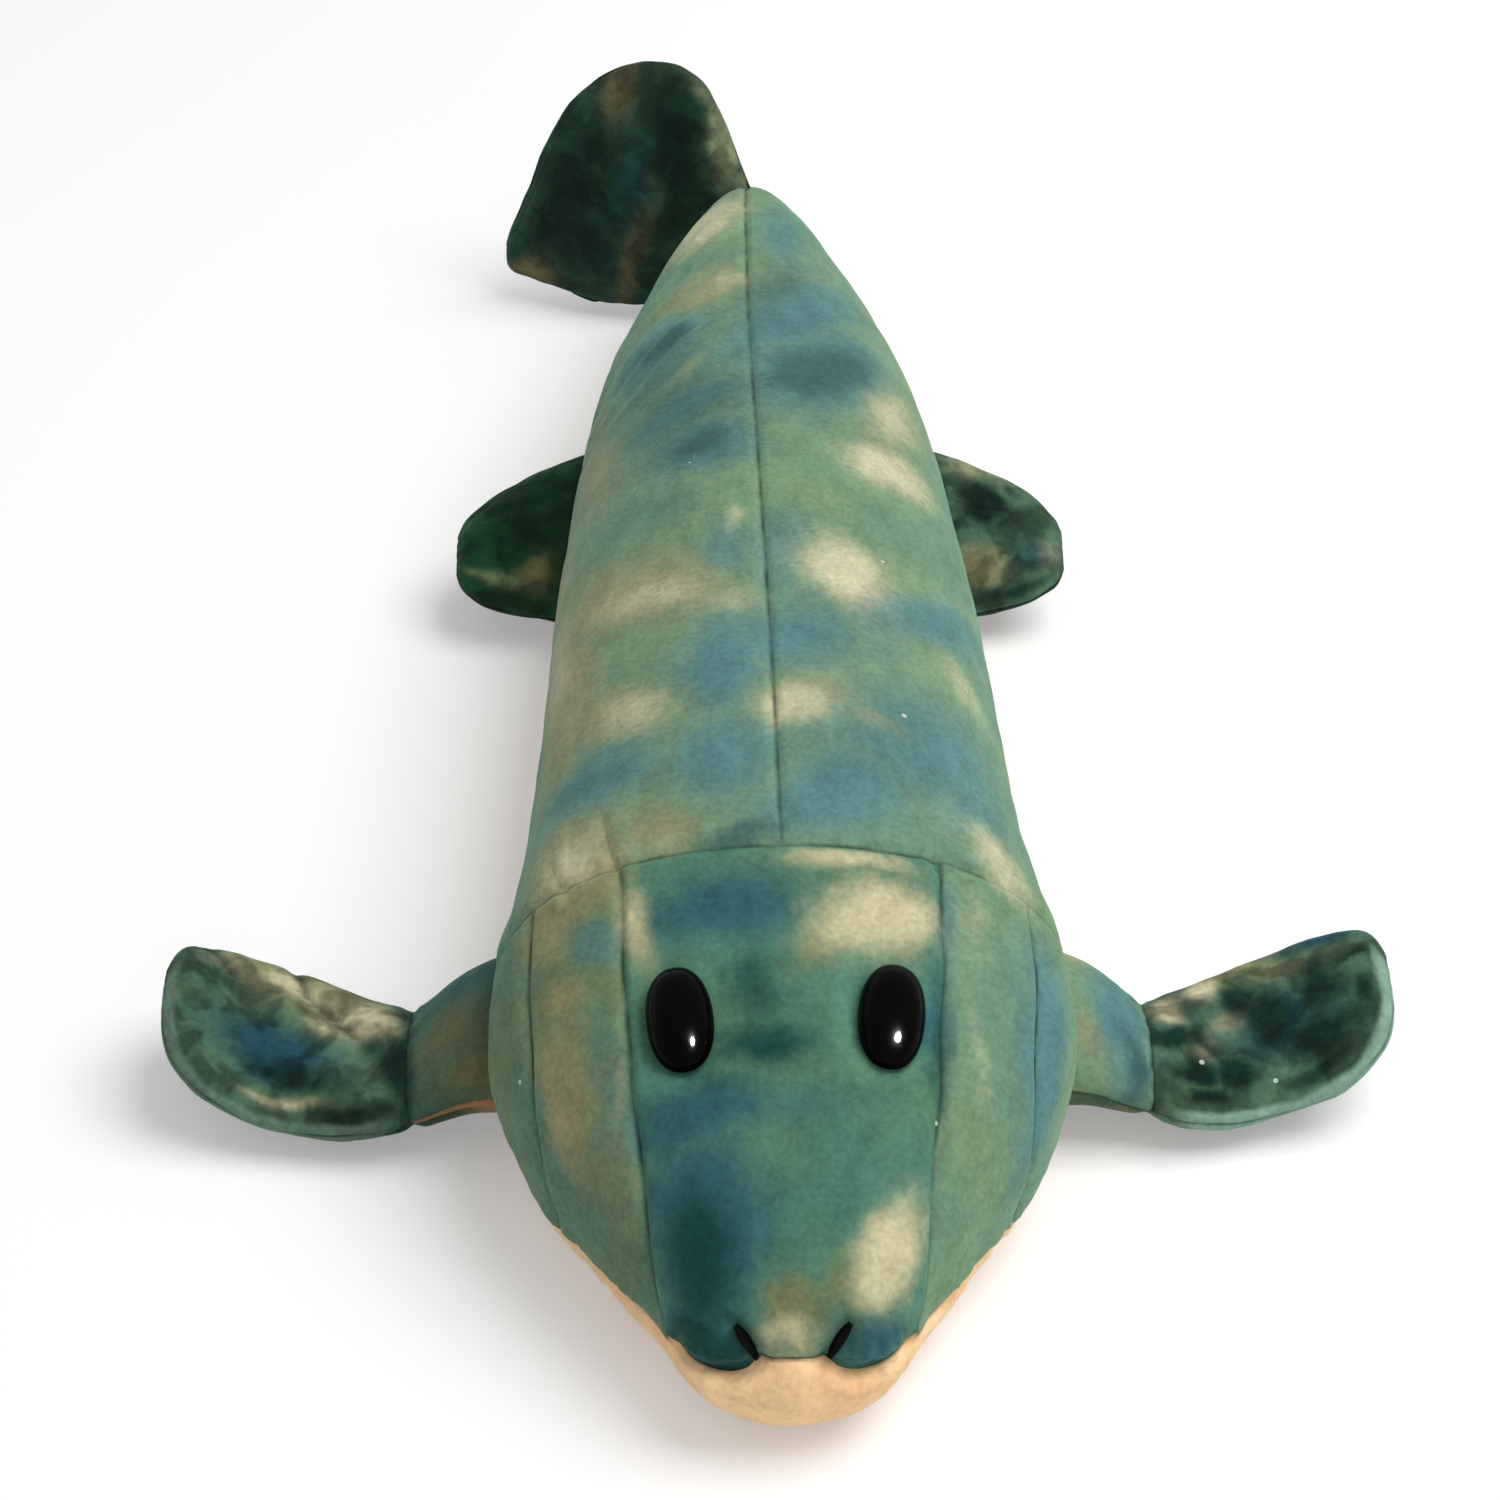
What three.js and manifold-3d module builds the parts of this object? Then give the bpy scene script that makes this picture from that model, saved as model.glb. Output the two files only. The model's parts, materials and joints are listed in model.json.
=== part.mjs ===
// A stuffed cloth tiktaalik, the flat-headed fish with limbs, lying on its belly.
//
// Millimetres, +Z up. The snout points towards -Y and the toy's own left side is +X.
// The origin is on the floor under the middle of the belly, where the belly's flat rests.
//
// The toy is sewn from cloth panels round fibre filling. Each panel is a thin curved slab,
// each filling is a closed solid inside its panels, and the eyes are plastic domes on ribbed
// posts that go through the cloth and are locked behind it by toothed washers. The front fins
// are a stuffed arm and a flatter blade, and they, the hind fins and the tail fin are sewn on
// along thin roots, where they flap.

import * as THREE from "three";
import { mergeVertices } from "three/addons/utils/BufferGeometryUtils.js";
import Module from "manifold-3d";

const wasm = await Module();
wasm.setup();

// Cloth and sewing
const clothThickness = 2.2; // knitted backing with its short pile
const seamGap = 0.4; // between two panels that are sewn together
const fillingGap = 1.2; // between the cloth and the filling
const seamValley = 0.5; // how deep a seam pulls the cloth in
const finSeamValley = 0.5;
const floorFlat = 0.5; // how deep the soft underside is pressed flat where it rests

// Head and trunk, from the lip to the end of the tail stem
const headLength = 81;
const trunkLength = 287;
const bellyRestFromNeck = 146;
const headWidth = 106;
const headHeight = 63.5;
const trunkWidth = 102;
const trunkHeight = 66.5;
const lipReach = 4; // how far the chin stands out past the snout
const lipFadeLength = 30; // how far back from the lip the chin still stands out

// Cross-sections of the head, from the lip (along 0) to the neck (along 1). wide is a share of
// headWidth; top, mid and under, the heights of the crown, of the widest line and of the
// underside over the lowest line, are shares of headHeight. Power 2 is an ellipse and more is
// squarer.
const headShares = [
  { along: 0, wide: 0.028, top: 0.32, mid: 0.306, under: 0.292, topPower: 2, underPower: 2 },
  { along: 0.008, wide: 0.16, top: 0.37, mid: 0.306, under: 0.17, topPower: 2, underPower: 2 },
  { along: 0.036, wide: 0.28, top: 0.425, mid: 0.307, under: 0.085, topPower: 2.1, underPower: 2.1 },
  { along: 0.062, wide: 0.335, top: 0.46, mid: 0.309, under: 0.05, topPower: 2.2, underPower: 2.2 },
  { along: 0.1, wide: 0.38, top: 0.5, mid: 0.312, under: 0.02, topPower: 2.3, underPower: 2.3 },
  { along: 0.17, wide: 0.45, top: 0.56, mid: 0.32, under: 0.006, topPower: 2.5, underPower: 2.4 },
  { along: 0.28, wide: 0.57, top: 0.64, mid: 0.333, under: 0, topPower: 2.5, underPower: 2.5 },
  { along: 0.42, wide: 0.725, top: 0.73, mid: 0.355, under: 0, topPower: 2.4, underPower: 2.5 },
  { along: 0.46, wide: 0.775, top: 0.752, mid: 0.363, under: 0, topPower: 2.4, underPower: 2.5 },
  { along: 0.59, wide: 0.885, top: 0.82, mid: 0.39, under: 0, topPower: 2.3, underPower: 2.5 },
  { along: 0.79, wide: 0.99, top: 0.92, mid: 0.435, under: 0, topPower: 2.2, underPower: 2.4 },
  { along: 1, wide: 0.985, top: 1, mid: 0.467, under: 0, topPower: 2.1, underPower: 2.4 },
];

// Cross-sections of the trunk, from the neck (along 0) to the end of the stem (along 1), as
// shares of trunkWidth and trunkHeight.
const trunkShares = [
  { along: 0.045, wide: 0.968, top: 0.975, mid: 0.458, under: 0, topPower: 2.1, underPower: 2.4 },
  { along: 0.12, wide: 0.918, top: 1, mid: 0.465, under: 0, topPower: 2.1, underPower: 2.4 },
  { along: 0.4, wide: 0.84, top: 0.98, mid: 0.46, under: 0, topPower: 2.1, underPower: 2.4 },
  { along: 0.53, wide: 0.785, top: 0.94, mid: 0.45, under: 0, topPower: 2.1, underPower: 2.4 },
  { along: 0.65, wide: 0.7, top: 0.885, mid: 0.435, under: 0, topPower: 2.1, underPower: 2.4 },
  { along: 0.75, wide: 0.59, top: 0.825, mid: 0.415, under: 0, topPower: 2, underPower: 2.2 },
  { along: 0.84, wide: 0.455, top: 0.755, mid: 0.395, under: 0.008, topPower: 2, underPower: 2 },
  { along: 0.92, wide: 0.325, top: 0.67, mid: 0.37, under: 0.035, topPower: 2, underPower: 2 },
  { along: 0.972, wide: 0.2, top: 0.585, mid: 0.35, under: 0.1, topPower: 2, underPower: 2 },
  { along: 1, wide: 0.03, top: 0.48, mid: 0.335, under: 0.19, topPower: 2, underPower: 2 },
];

// Seams on the head, as degrees round its cross-section from the side (0) to the crown (90)
const crownSeamDegrees = [
  { along: 0, at: -5 },
  { along: 0.07, at: -5 },
  { along: 0.1, at: 5 },
  { along: 0.17, at: 27 },
  { along: 0.28, at: 41 },
  { along: 0.42, at: 50 },
  { along: 0.59, at: 56 },
  { along: 0.77, at: 58 },
  { along: 1, at: 56 },
];
const gillSeamDegrees = [
  { along: 0.46, at: -9 },
  { along: 0.59, at: 8 },
  { along: 0.77, at: 21 },
  { along: 1, at: 24 },
];
const chinSeamDegrees = [
  { along: 0, at: -5 },
  { along: 0.17, at: -5 },
  { along: 0.28, at: -8 },
  { along: 0.5, at: -16 },
  { along: 0.77, at: -18 },
  { along: 1, at: -18 },
];
const cheekFrontShare = 0.1; // where the cheek panels start, past the lip
const gillFrontShare = 0.46; // where the gill panels start

// Eyes: plastic ovals on a post
const eyeWidth = 10.4;
const eyeLength = 18.4;
const eyeDome = 5;
const eyeSeatDepth = 1;
const eyeAtShare = 0.6; // along the head
const eyeFromCrownDegrees = 19;
const postRadius = 2;
const postLength = 15;
const postRibHeight = 0.35;
const postRibPitch = 1.8;
const postTipShare = 0.6; // of postRadius, at the post's blunt end
const washerRadius = 6.5;
const washerThickness = 1.4;
const washerDrop = 1.7; // from the cloth's inner side to the washer
const washerTeeth = 8;
const washerToothDepth = 0.9;
const fitClearance = 0.3;
const rootClearance = 0.2; // between the body's cloth and a fin that swings on it

// Nostrils: padded satin-stitch bars
const nostrilWidth = 2.4;
const nostrilLength = 7;
const nostrilHeight = 1.6;
const nostrilAtShare = 0.021;
const nostrilFromCrownDegrees = 37;
const nostrilLeanDegrees = 11;

// Front fins: an arm from the body to the wrist, and a blade from the wrist to the tip.
// span is a share of frontFinSpan from the body's side. lift, sweep (rearwards), chord and thick
// are shares of frontFinChord, and pitch is in degrees, rear edge up.
const frontFinSpan = 64;
const frontFinChord = 40;
const frontFinBehindNeck = 4;
const frontFinHeight = 15;
const wristShare = 0.29;
const frontFinShares = [
  { span: -0.17, lift: 0, sweep: -0.01, chord: 0.92, thick: 0.55, pitch: 0 },
  { span: 0, lift: 0, sweep: -0.01, chord: 0.92, thick: 0.54, pitch: 0 },
  { span: 0.13, lift: -0.03, sweep: -0.05, chord: 0.82, thick: 0.46, pitch: 1 },
  { span: 0.22, lift: -0.09, sweep: -0.1, chord: 0.72, thick: 0.38, pitch: 2 },
  { span: 0.29, lift: -0.12, sweep: -0.12, chord: 0.7, thick: 0.33, pitch: 3 },
  { span: 0.37, lift: -0.14, sweep: -0.11, chord: 0.78, thick: 0.3, pitch: 5 },
  { span: 0.52, lift: -0.145, sweep: -0.05, chord: 0.89, thick: 0.28, pitch: 8 },
  { span: 0.69, lift: -0.11, sweep: 0.02, chord: 0.94, thick: 0.26, pitch: 10 },
  { span: 0.84, lift: -0.01, sweep: 0.06, chord: 0.89, thick: 0.24, pitch: 12 },
  { span: 0.93, lift: 0.09, sweep: 0.07, chord: 0.73, thick: 0.21, pitch: 14 },
  { span: 0.98, lift: 0.155, sweep: 0.07, chord: 0.53, thick: 0.15, pitch: 14 },
  { span: 1, lift: 0.18, sweep: 0.07, chord: 0.36, thick: 0.02, pitch: 14 },
];
const shoulderRange = [-10, 25]; // degrees, up is positive
const wristRange = [-15, 15];

// Hind fins: one flat lobe each, as the front fins' tables
const hindFinSpan = 30;
const hindFinChord = 45;
const hindFinBehindNeck = 161;
const hindFinHeight = 15;
const hindFinShares = [
  { span: -0.3, lift: 0, sweep: 0.04, chord: 0.98, thick: 0.28, pitch: 22 },
  { span: 0, lift: 0, sweep: 0.04, chord: 1, thick: 0.28, pitch: 22 },
  { span: 0.28, lift: 0, sweep: 0.01, chord: 0.87, thick: 0.26, pitch: 22 },
  { span: 0.56, lift: 0.01, sweep: -0.03, chord: 0.7, thick: 0.23, pitch: 22 },
  { span: 0.8, lift: 0.02, sweep: -0.08, chord: 0.5, thick: 0.2, pitch: 22 },
  { span: 0.95, lift: 0.03, sweep: -0.11, chord: 0.33, thick: 0.15, pitch: 22 },
  { span: 1, lift: 0.035, sweep: -0.12, chord: 0.18, thick: 0.02, pitch: 22 },
];
const hindFinRange = [-10, 25];

// Tail fin: span runs backwards from the stem and chord stands upright, so its sweep is the
// height of its middle over the floor. Its lift and pitch carry its lower edge forwards.
const tailFinSpan = 61;
const tailFinChord = 64;
const tailFinRootInset = 0.6; // from the hinge line to the end of the stem
const tailFinShares = [
  { span: 0.004, lift: 0, sweep: 0.4, chord: 0.28, thick: 0.07, pitch: 0 },
  { span: 0.08, lift: -0.005, sweep: 0.46, chord: 0.52, thick: 0.11, pitch: 2 },
  { span: 0.17, lift: -0.02, sweep: 0.51, chord: 0.75, thick: 0.14, pitch: 5 },
  { span: 0.28, lift: -0.045, sweep: 0.525, chord: 0.9, thick: 0.16, pitch: 10 },
  { span: 0.41, lift: -0.07, sweep: 0.53, chord: 0.95, thick: 0.165, pitch: 13 },
  { span: 0.55, lift: -0.07, sweep: 0.49, chord: 0.88, thick: 0.16, pitch: 13 },
  { span: 0.69, lift: -0.055, sweep: 0.41, chord: 0.73, thick: 0.15, pitch: 11 },
  { span: 0.81, lift: -0.04, sweep: 0.33, chord: 0.57, thick: 0.14, pitch: 8 },
  { span: 0.93, lift: -0.025, sweep: 0.26, chord: 0.4, thick: 0.12, pitch: 5 },
  { span: 1, lift: -0.02, sweep: 0.22, chord: 0.2, thick: 0.015, pitch: 4 },
];
const tailBend = 84; // degrees to the toy's right, as it lies
const tailFinRange = [-164, 4];

// How finely the forms are drawn
const fillingSides = 14;
const finFillingSides = 8;
const finColumns = 5;
const envelopeSides = 30;
const eyeSides = 14;
const domeRings = 6;

const cutOverrun = 12;
const coarsestSwing = 40; // degrees between the places where a swinging piece is cut clear
const leastShare = 0.2; // what an inset leaves of a section too thin for it
const mostTrimShare = 0.125; // of a panel's width, the most that a seam takes off each side
const seatStepShare = 0.01; // of headLength, between the points that tell how the cloth lies
const headingStepShare = 0.01; // of a fin's span, between the points that tell how it runs
const finPower = 2.2; // a fin's cross-section: 2 is an ellipse and more is squarer
const weldTolerance = 0.0001; // points nearer than this are one

const clothGreen = new THREE.MeshStandardMaterial({ color: 0x6d8f7d, roughness: 0.95 });
const clothTeal = new THREE.MeshStandardMaterial({ color: 0x3f6e70, roughness: 0.95 });
const clothDark = new THREE.MeshStandardMaterial({ color: 0x2c4a3b, roughness: 0.9 });
const clothPeach = new THREE.MeshStandardMaterial({ color: 0xe6c29a, roughness: 0.95 });
const fibre = new THREE.MeshStandardMaterial({ color: 0xf4f2ec, roughness: 1 });
const eyePlastic = new THREE.MeshStandardMaterial({ color: 0x050505, roughness: 0.08 });
const washerPlastic = new THREE.MeshStandardMaterial({ color: 0xdcdcd8, roughness: 0.4 });
const blackThread = new THREE.MeshStandardMaterial({ color: 0x0b0b0d, roughness: 0.6 });

// A smooth curve through rows of a table that never swings past them. Returns key's value at x.
function track(rows, xKey, key) {
  const xs = rows.map((row) => row[xKey]);
  const ys = rows.map((row) => row[key]);
  const rise = xs.slice(1).map((x, i) => (ys[i + 1] - ys[i]) / (x - xs[i]));
  const slope = xs.map((_, i) => {
    if (i === 0) return rise[0];
    if (i === xs.length - 1) return rise[i - 1];
    const [a, b] = [rise[i - 1], rise[i]];
    return a * b <= 0 ? 0 : (2 * a * b) / (a + b);
  });
  return (x) => {
    const last = xs.length - 2;
    let i = xs.findIndex((_, k) => k <= last && x < xs[k + 1]);
    if (i < 0) i = last;
    const width = xs[i + 1] - xs[i];
    const t = Math.min(Math.max((x - xs[i]) / width, 0), 1);
    const [t2, t3] = [t * t, t * t * t];
    return (
      (2 * t3 - 3 * t2 + 1) * ys[i] +
      (t3 - 2 * t2 + t) * width * slope[i] +
      (3 * t2 - 2 * t3) * ys[i + 1] +
      (t3 - t2) * width * slope[i + 1]
    );
  };
}

const shrink = (size, inset) => Math.max(size - inset, size * leastShare);
const smooth = (t) => {
  const u = Math.min(Math.max(t, 0), 1);
  return u * u * (3 - 2 * u);
};
const bentPower = (value, power) => Math.sign(value) * Math.abs(value) ** (2 / power);

// The body's form. at is the distance behind the lip, in mm.
const bodyLength = headLength + trunkLength;
const neckY = -bellyRestFromNeck;
const lipY = neckY - headLength;
const bodyStations = [
  ...headShares.map((s) => ({
    ...s,
    at: s.along * headLength,
    halfWidth: (s.wide * headWidth) / 2,
    top: s.top * headHeight,
    mid: s.mid * headHeight,
    under: s.under * headHeight,
  })),
  ...trunkShares.map((s) => ({
    ...s,
    at: headLength + s.along * trunkLength,
    halfWidth: (s.wide * trunkWidth) / 2,
    top: s.top * trunkHeight,
    mid: s.mid * trunkHeight,
    under: s.under * trunkHeight,
  })),
];
const bodyKeys = ["halfWidth", "top", "mid", "under", "topPower", "underPower"];
const bodyTracks = Object.fromEntries(bodyKeys.map((k) => [k, track(bodyStations, "at", k)]));

// A point on the body: angle 0 is the toy's left side, 90 the crown and 270 the belly.
// inset goes into the body, and less than 0 outwards.
function bodyPoint(at, angle, inset = 0) {
  const s = Object.fromEntries(bodyKeys.map((k) => [k, bodyTracks[k](at)]));
  const turn = THREE.MathUtils.degToRad(angle);
  const [c, n] = [Math.cos(turn), Math.sin(turn)];
  const upper = n >= 0;
  const power = upper ? s.topPower : s.underPower;
  const reach = shrink(upper ? s.top - s.mid : s.mid - s.under, inset);
  const endShare = at < headLength ? 1 - at / headLength : -(at - headLength) / trunkLength;
  const rise = reach * bentPower(n, power);
  const chin = lipReach * (1 - smooth(at / lipFadeLength)) * smooth(-rise / lipReach);
  return new THREE.Vector3(
    shrink(s.halfWidth, inset) * bentPower(c, power),
    lipY + at + inset * endShare - chin,
    s.mid + rise - floorFlat,
  );
}

// Where a piece sits on the body: the point, and the directions across, along and out of the
// cloth, as a matrix.
function bodySeat(at, angle) {
  const step = seatStepShare * headLength;
  const point = bodyPoint(at, angle);
  const back = bodyPoint(at + step, angle).sub(bodyPoint(at - step, angle)).normalize();
  const round = bodyPoint(at, angle + 1).sub(bodyPoint(at, angle - 1)).normalize();
  const out = new THREE.Vector3().crossVectors(back, round).normalize();
  const across = new THREE.Vector3().crossVectors(back, out).normalize();
  return new THREE.Matrix4().makeBasis(across, back, out).setPosition(point);
}

// A fin's form. rows is its table, root the point where it leaves the body, outward and rearward
// are unit vectors along its span and chord. along is a share of the span.
function finForm(rows, span, chord, root, outward, rearward) {
  const upward = new THREE.Vector3().crossVectors(outward, rearward);
  const keys = ["lift", "sweep", "chord", "thick", "pitch"];
  const tracks = Object.fromEntries(keys.map((k) => [k, track(rows, "span", k)]));
  const centre = (along) =>
    root
      .clone()
      .addScaledVector(outward, along * span)
      .addScaledVector(rearward, tracks.sweep(along) * chord)
      .addScaledVector(upward, tracks.lift(along) * chord);
  const point = (along, angle, inset = 0) => {
    const drawn = along - (inset / span) * Math.max(along, 0);
    const pitch = THREE.MathUtils.degToRad(tracks.pitch(along));
    const turn = THREE.MathUtils.degToRad(angle);
    const heading = centre(Math.min(along + headingStepShare, 1))
      .sub(centre(Math.min(along, 1) - headingStepShare))
      .normalize();
    const level = rearward.clone().applyAxisAngle(outward, pitch);
    const halfChord = shrink((tracks.chord(along) * chord) / 2, inset);
    const halfThick = shrink((tracks.thick(along) * chord) / 2, inset);
    const proud = new THREE.Vector3().crossVectors(heading, level).normalize();
    return centre(drawn)
      .addScaledVector(level, halfChord * bentPower(Math.cos(turn), finPower))
      .addScaledVector(proud, halfThick * bentPower(Math.sin(turn), finPower));
  };
  return { point, centre };
}

// A closed solid from rings of points, with a fan over each end.
function ringSolid(rings) {
  const count = rings[0].length;
  const points = rings.flat();
  const faces = [];
  for (let r = 0; r < rings.length - 1; r++)
    for (let i = 0; i < count; i++) {
      const [a, b] = [r * count + i, r * count + ((i + 1) % count)];
      faces.push([a, b, b + count], [a, b + count, a + count]);
    }
  for (const [ring, flip] of [
    [0, true],
    [rings.length - 1, false],
  ]) {
    const hub = new THREE.Vector3();
    for (const p of rings[ring]) hub.addScaledVector(p, 1 / count);
    const centre = points.push(hub) - 1;
    for (let i = 0; i < count; i++) {
      const [a, b] = [ring * count + i, ring * count + ((i + 1) % count)];
      faces.push(flip ? [centre, b, a] : [centre, a, b]);
    }
  }
  return solidOf(geometryOf(points, faces));
}

// A curved slab of cloth over part of a form: outer and inner sheets joined by walls round
// their edges. rows are the places along the form, and low and high the angles it spans.
function clothPanel(point, rows, low, high, columns, valley, halfGapAlong) {
  const [first, last] = [0, rows.length - 1];
  const sheets = [0, clothThickness].map((depth) =>
    rows.map((row, r) => {
      const [a, b] = [low(row), high(row)];
      const degree = Math.max(point(row, a).distanceTo(point(row, a + 1)), leastShare * seamGap);
      const trim = Math.min(seamGap / 2 / degree, (b - a) * mostTrimShare);
      const place = row + (r === first ? halfGapAlong[0] : 0) - (r === last ? halfGapAlong[1] : 0);
      return Array.from({ length: columns + 1 }, (_, c) => {
        const edge = c === 0 || c === columns || r === first || r === last;
        const angle = a + trim + ((b - a - 2 * trim) * c) / columns;
        return point(place, angle, depth + (edge ? valley : 0));
      });
    }),
  );
  const width = columns + 1;
  const points = sheets.flat(2);
  const inner = rows.length * width;
  const faces = [];
  const quad = (a, b, c, d) => faces.push([a, b, c], [a, c, d]);
  for (let r = 0; r < last; r++)
    for (let c = 0; c < columns; c++) {
      const [a, b] = [r * width + c, r * width + c + 1];
      quad(a, b, b + width, a + width);
      quad(inner + a, inner + a + width, inner + b + width, inner + b);
    }
  for (let r = 0; r < last; r++) {
    const [a, b] = [r * width, r * width + columns];
    quad(a, a + width, inner + a + width, inner + a);
    quad(b + width, b, inner + b, inner + b + width);
  }
  for (let c = 0; c < columns; c++) {
    const [a, b] = [c, last * width + c];
    quad(a + 1, a, inner + a, inner + a + 1);
    quad(b, b + 1, inner + b + 1, inner + b);
  }
  return solidOf(geometryOf(points, faces));
}

function geometryOf(points, faces) {
  const geometry = new THREE.BufferGeometry();
  geometry.setFromPoints(points);
  geometry.setIndex(faces.flat());
  return geometry;
}

// A closed geometry as a solid that can be joined and cut, faces outwards.
function solidOf(geometry) {
  const bare = geometry.clone();
  bare.deleteAttribute("normal");
  bare.deleteAttribute("uv");
  const merged = mergeVertices(bare, weldTolerance);
  const index = merged.index.array;
  const vertProperties = merged.attributes.position.array;
  const build = (triVerts) =>
    new wasm.Manifold(new wasm.Mesh({ numProp: 3, vertProperties, triVerts }));
  const solid = build(new Uint32Array(index));
  if (solid.volume() > 0) return solid;
  return build(Uint32Array.from(index, (_, i) => index[i - (i % 3) + (2 - (i % 3))]));
}

function geometryFrom(solid) {
  const mesh = solid.getMesh();
  const geometry = new THREE.BufferGeometry();
  const corners = new Float32Array(mesh.vertProperties);
  geometry.setAttribute("position", new THREE.BufferAttribute(corners, 3));
  geometry.setIndex(new THREE.BufferAttribute(new Uint32Array(mesh.triVerts), 1));
  return geometry;
}

const moved = (solid, matrix) => solidOf(geometryFrom(solid).applyMatrix4(matrix));

// What is left of a piece that swings about a line by a range of degrees, so that it never
// reaches the obstacle.
function clearedOf(piece, obstacle, pivot, axis, range) {
  let left = piece;
  const [low, high] = range;
  const steps = Math.ceil((high - low) / coarsestSwing);
  const stops = Array.from({ length: steps + 1 }, (_, i) => low + ((high - low) * i) / steps);
  for (const degrees of [...stops, 0]) {
    const turn = new THREE.Matrix4()
      .makeTranslation(pivot)
      .multiply(new THREE.Matrix4().makeRotationAxis(axis, THREE.MathUtils.degToRad(-degrees)))
      .multiply(new THREE.Matrix4().makeTranslation(pivot.clone().negate()));
    left = left.subtract(moved(obstacle, turn));
  }
  return left;
}

const rowsBetween = (from, to, stations) => [
  from,
  ...stations.filter((at) => at > from && at < to),
  to,
];
const ring = (point, at, sides, inset) =>
  Array.from({ length: sides }, (_, i) => point(at, (360 * i) / sides, inset));
const filling = (point, rows, sides, inset) => ringSolid(rows.map((at) => ring(point, at, sides, inset)));

// Adds a solid, built in the toy's frame, to a group at its own place.
function piece(group, name, solid, material) {
  group.updateWorldMatrix(true, false);
  const geometry = geometryFrom(solid).applyMatrix4(group.matrixWorld.clone().invert());
  geometry.computeVertexNormals();
  const mesh = new THREE.Mesh(geometry, material);
  mesh.name = name;
  group.add(mesh);
}

const toy = new THREE.Group();
const fillingInset = clothThickness + seamValley + fillingGap;
const bodyPlaces = bodyStations.map((s) => s.at);
const floorBlock = solidOf(
  new THREE.BoxGeometry(headWidth * 3, bodyLength * 3, headHeight).translate(0, 0, -headHeight / 2),
);
const onFloor = (solid) => solid.subtract(floorBlock);
const bodyEnvelope = filling(bodyPoint, bodyPlaces, envelopeSides, -rootClearance);

// Head: crown, two cheeks, two gill covers and the chin
const headShareOf = (at) => at / headLength;
const crownSeam = track(crownSeamDegrees, "along", "at");
const gillSeam = track(gillSeamDegrees, "along", "at");
const headRows = (from) => rowsBetween(from, headLength, bodyPlaces);
const noGap = 0;
const halfGap = seamGap / 2;

function headPanel(rows, low, high, columns, frontGap) {
  return onFloor(clothPanel(bodyPoint, rows, low, high, columns, seamValley, [frontGap, halfGap]));
}

const eyeSeats = [eyeFromCrownDegrees, -eyeFromCrownDegrees].map((off) =>
  bodySeat(eyeAtShare * headLength, 90 - off),
);
const nostrilSeats = [1, -1].map((side) =>
  bodySeat(nostrilAtShare * headLength, 90 - side * nostrilFromCrownDegrees).multiply(
    new THREE.Matrix4().makeRotationZ(THREE.MathUtils.degToRad(side * nostrilLeanDegrees)),
  ),
);

// An oval prism about a seat's own axis, from one depth to another
function ovalPrism(width, length, low, high) {
  const prism = new THREE.CylinderGeometry(1, 1, 1, eyeSides);
  prism.rotateX(Math.PI / 2).scale(width / 2, length / 2, high - low);
  return solidOf(prism.translate(0, 0, (low + high) / 2));
}

// A dome on a ribbed post. The dome's flat back is eyeSeatDepth under the cloth's surface.
const eyeBack = fitClearance - eyeSeatDepth;
function eye() {
  const domeProfile = [new THREE.Vector2(0, 0)];
  for (let i = 0; i < domeRings; i++) {
    const turn = ((Math.PI / 2) * i) / domeRings;
    domeProfile.push(new THREE.Vector2(Math.cos(turn), Math.sin(turn)));
  }
  domeProfile.push(new THREE.Vector2(0, 1));
  const dome = new THREE.LatheGeometry(domeProfile, eyeSides).rotateX(Math.PI / 2);
  dome.scale(eyeWidth / 2, eyeLength / 2, eyeDome).translate(0, 0, eyeBack);
  const postTop = eyeBack + eyeDome / 4;
  const postProfile = [new THREE.Vector2(0, postTop), new THREE.Vector2(postRadius, postTop)];
  const ribs = Math.floor((postLength - washerDrop - clothThickness) / postRibPitch);
  for (let i = 0; i < ribs; i++) {
    const top = eyeBack - postLength + (ribs - i) * postRibPitch;
    postProfile.push(new THREE.Vector2(postRadius, top));
    postProfile.push(new THREE.Vector2(postRadius + postRibHeight, top - postRibPitch / 4));
    postProfile.push(new THREE.Vector2(postRadius, top - postRibPitch / 2));
  }
  postProfile.push(new THREE.Vector2(postRadius * postTipShare, eyeBack - postLength));
  postProfile.push(new THREE.Vector2(0, eyeBack - postLength));
  const post = new THREE.LatheGeometry(postProfile, eyeSides / 2).rotateX(Math.PI / 2);
  return solidOf(dome).add(solidOf(post));
}

// A disc with teeth round its bore, which bite on the post's ribs
const washerTop = -(clothThickness + washerDrop);
const washerBore = postRadius + postRibHeight + fitClearance;
function washer() {
  const outline = new THREE.Shape().absarc(0, 0, washerRadius, 0, 2 * Math.PI);
  const bore = new THREE.Path();
  for (let i = 0; i < 2 * washerTeeth; i++) {
    const radius = i % 2 ? washerBore : washerBore + washerToothDepth;
    const turn = (Math.PI * i) / washerTeeth;
    bore[i ? "lineTo" : "moveTo"](radius * Math.cos(turn), radius * Math.sin(turn));
  }
  bore.closePath();
  outline.holes.push(bore);
  const disc = new THREE.ExtrudeGeometry(outline, {
    depth: washerThickness,
    bevelEnabled: false,
    curveSegments: eyeSides / 2,
  });
  return solidOf(disc.translate(0, 0, washerTop - washerThickness));
}

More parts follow.
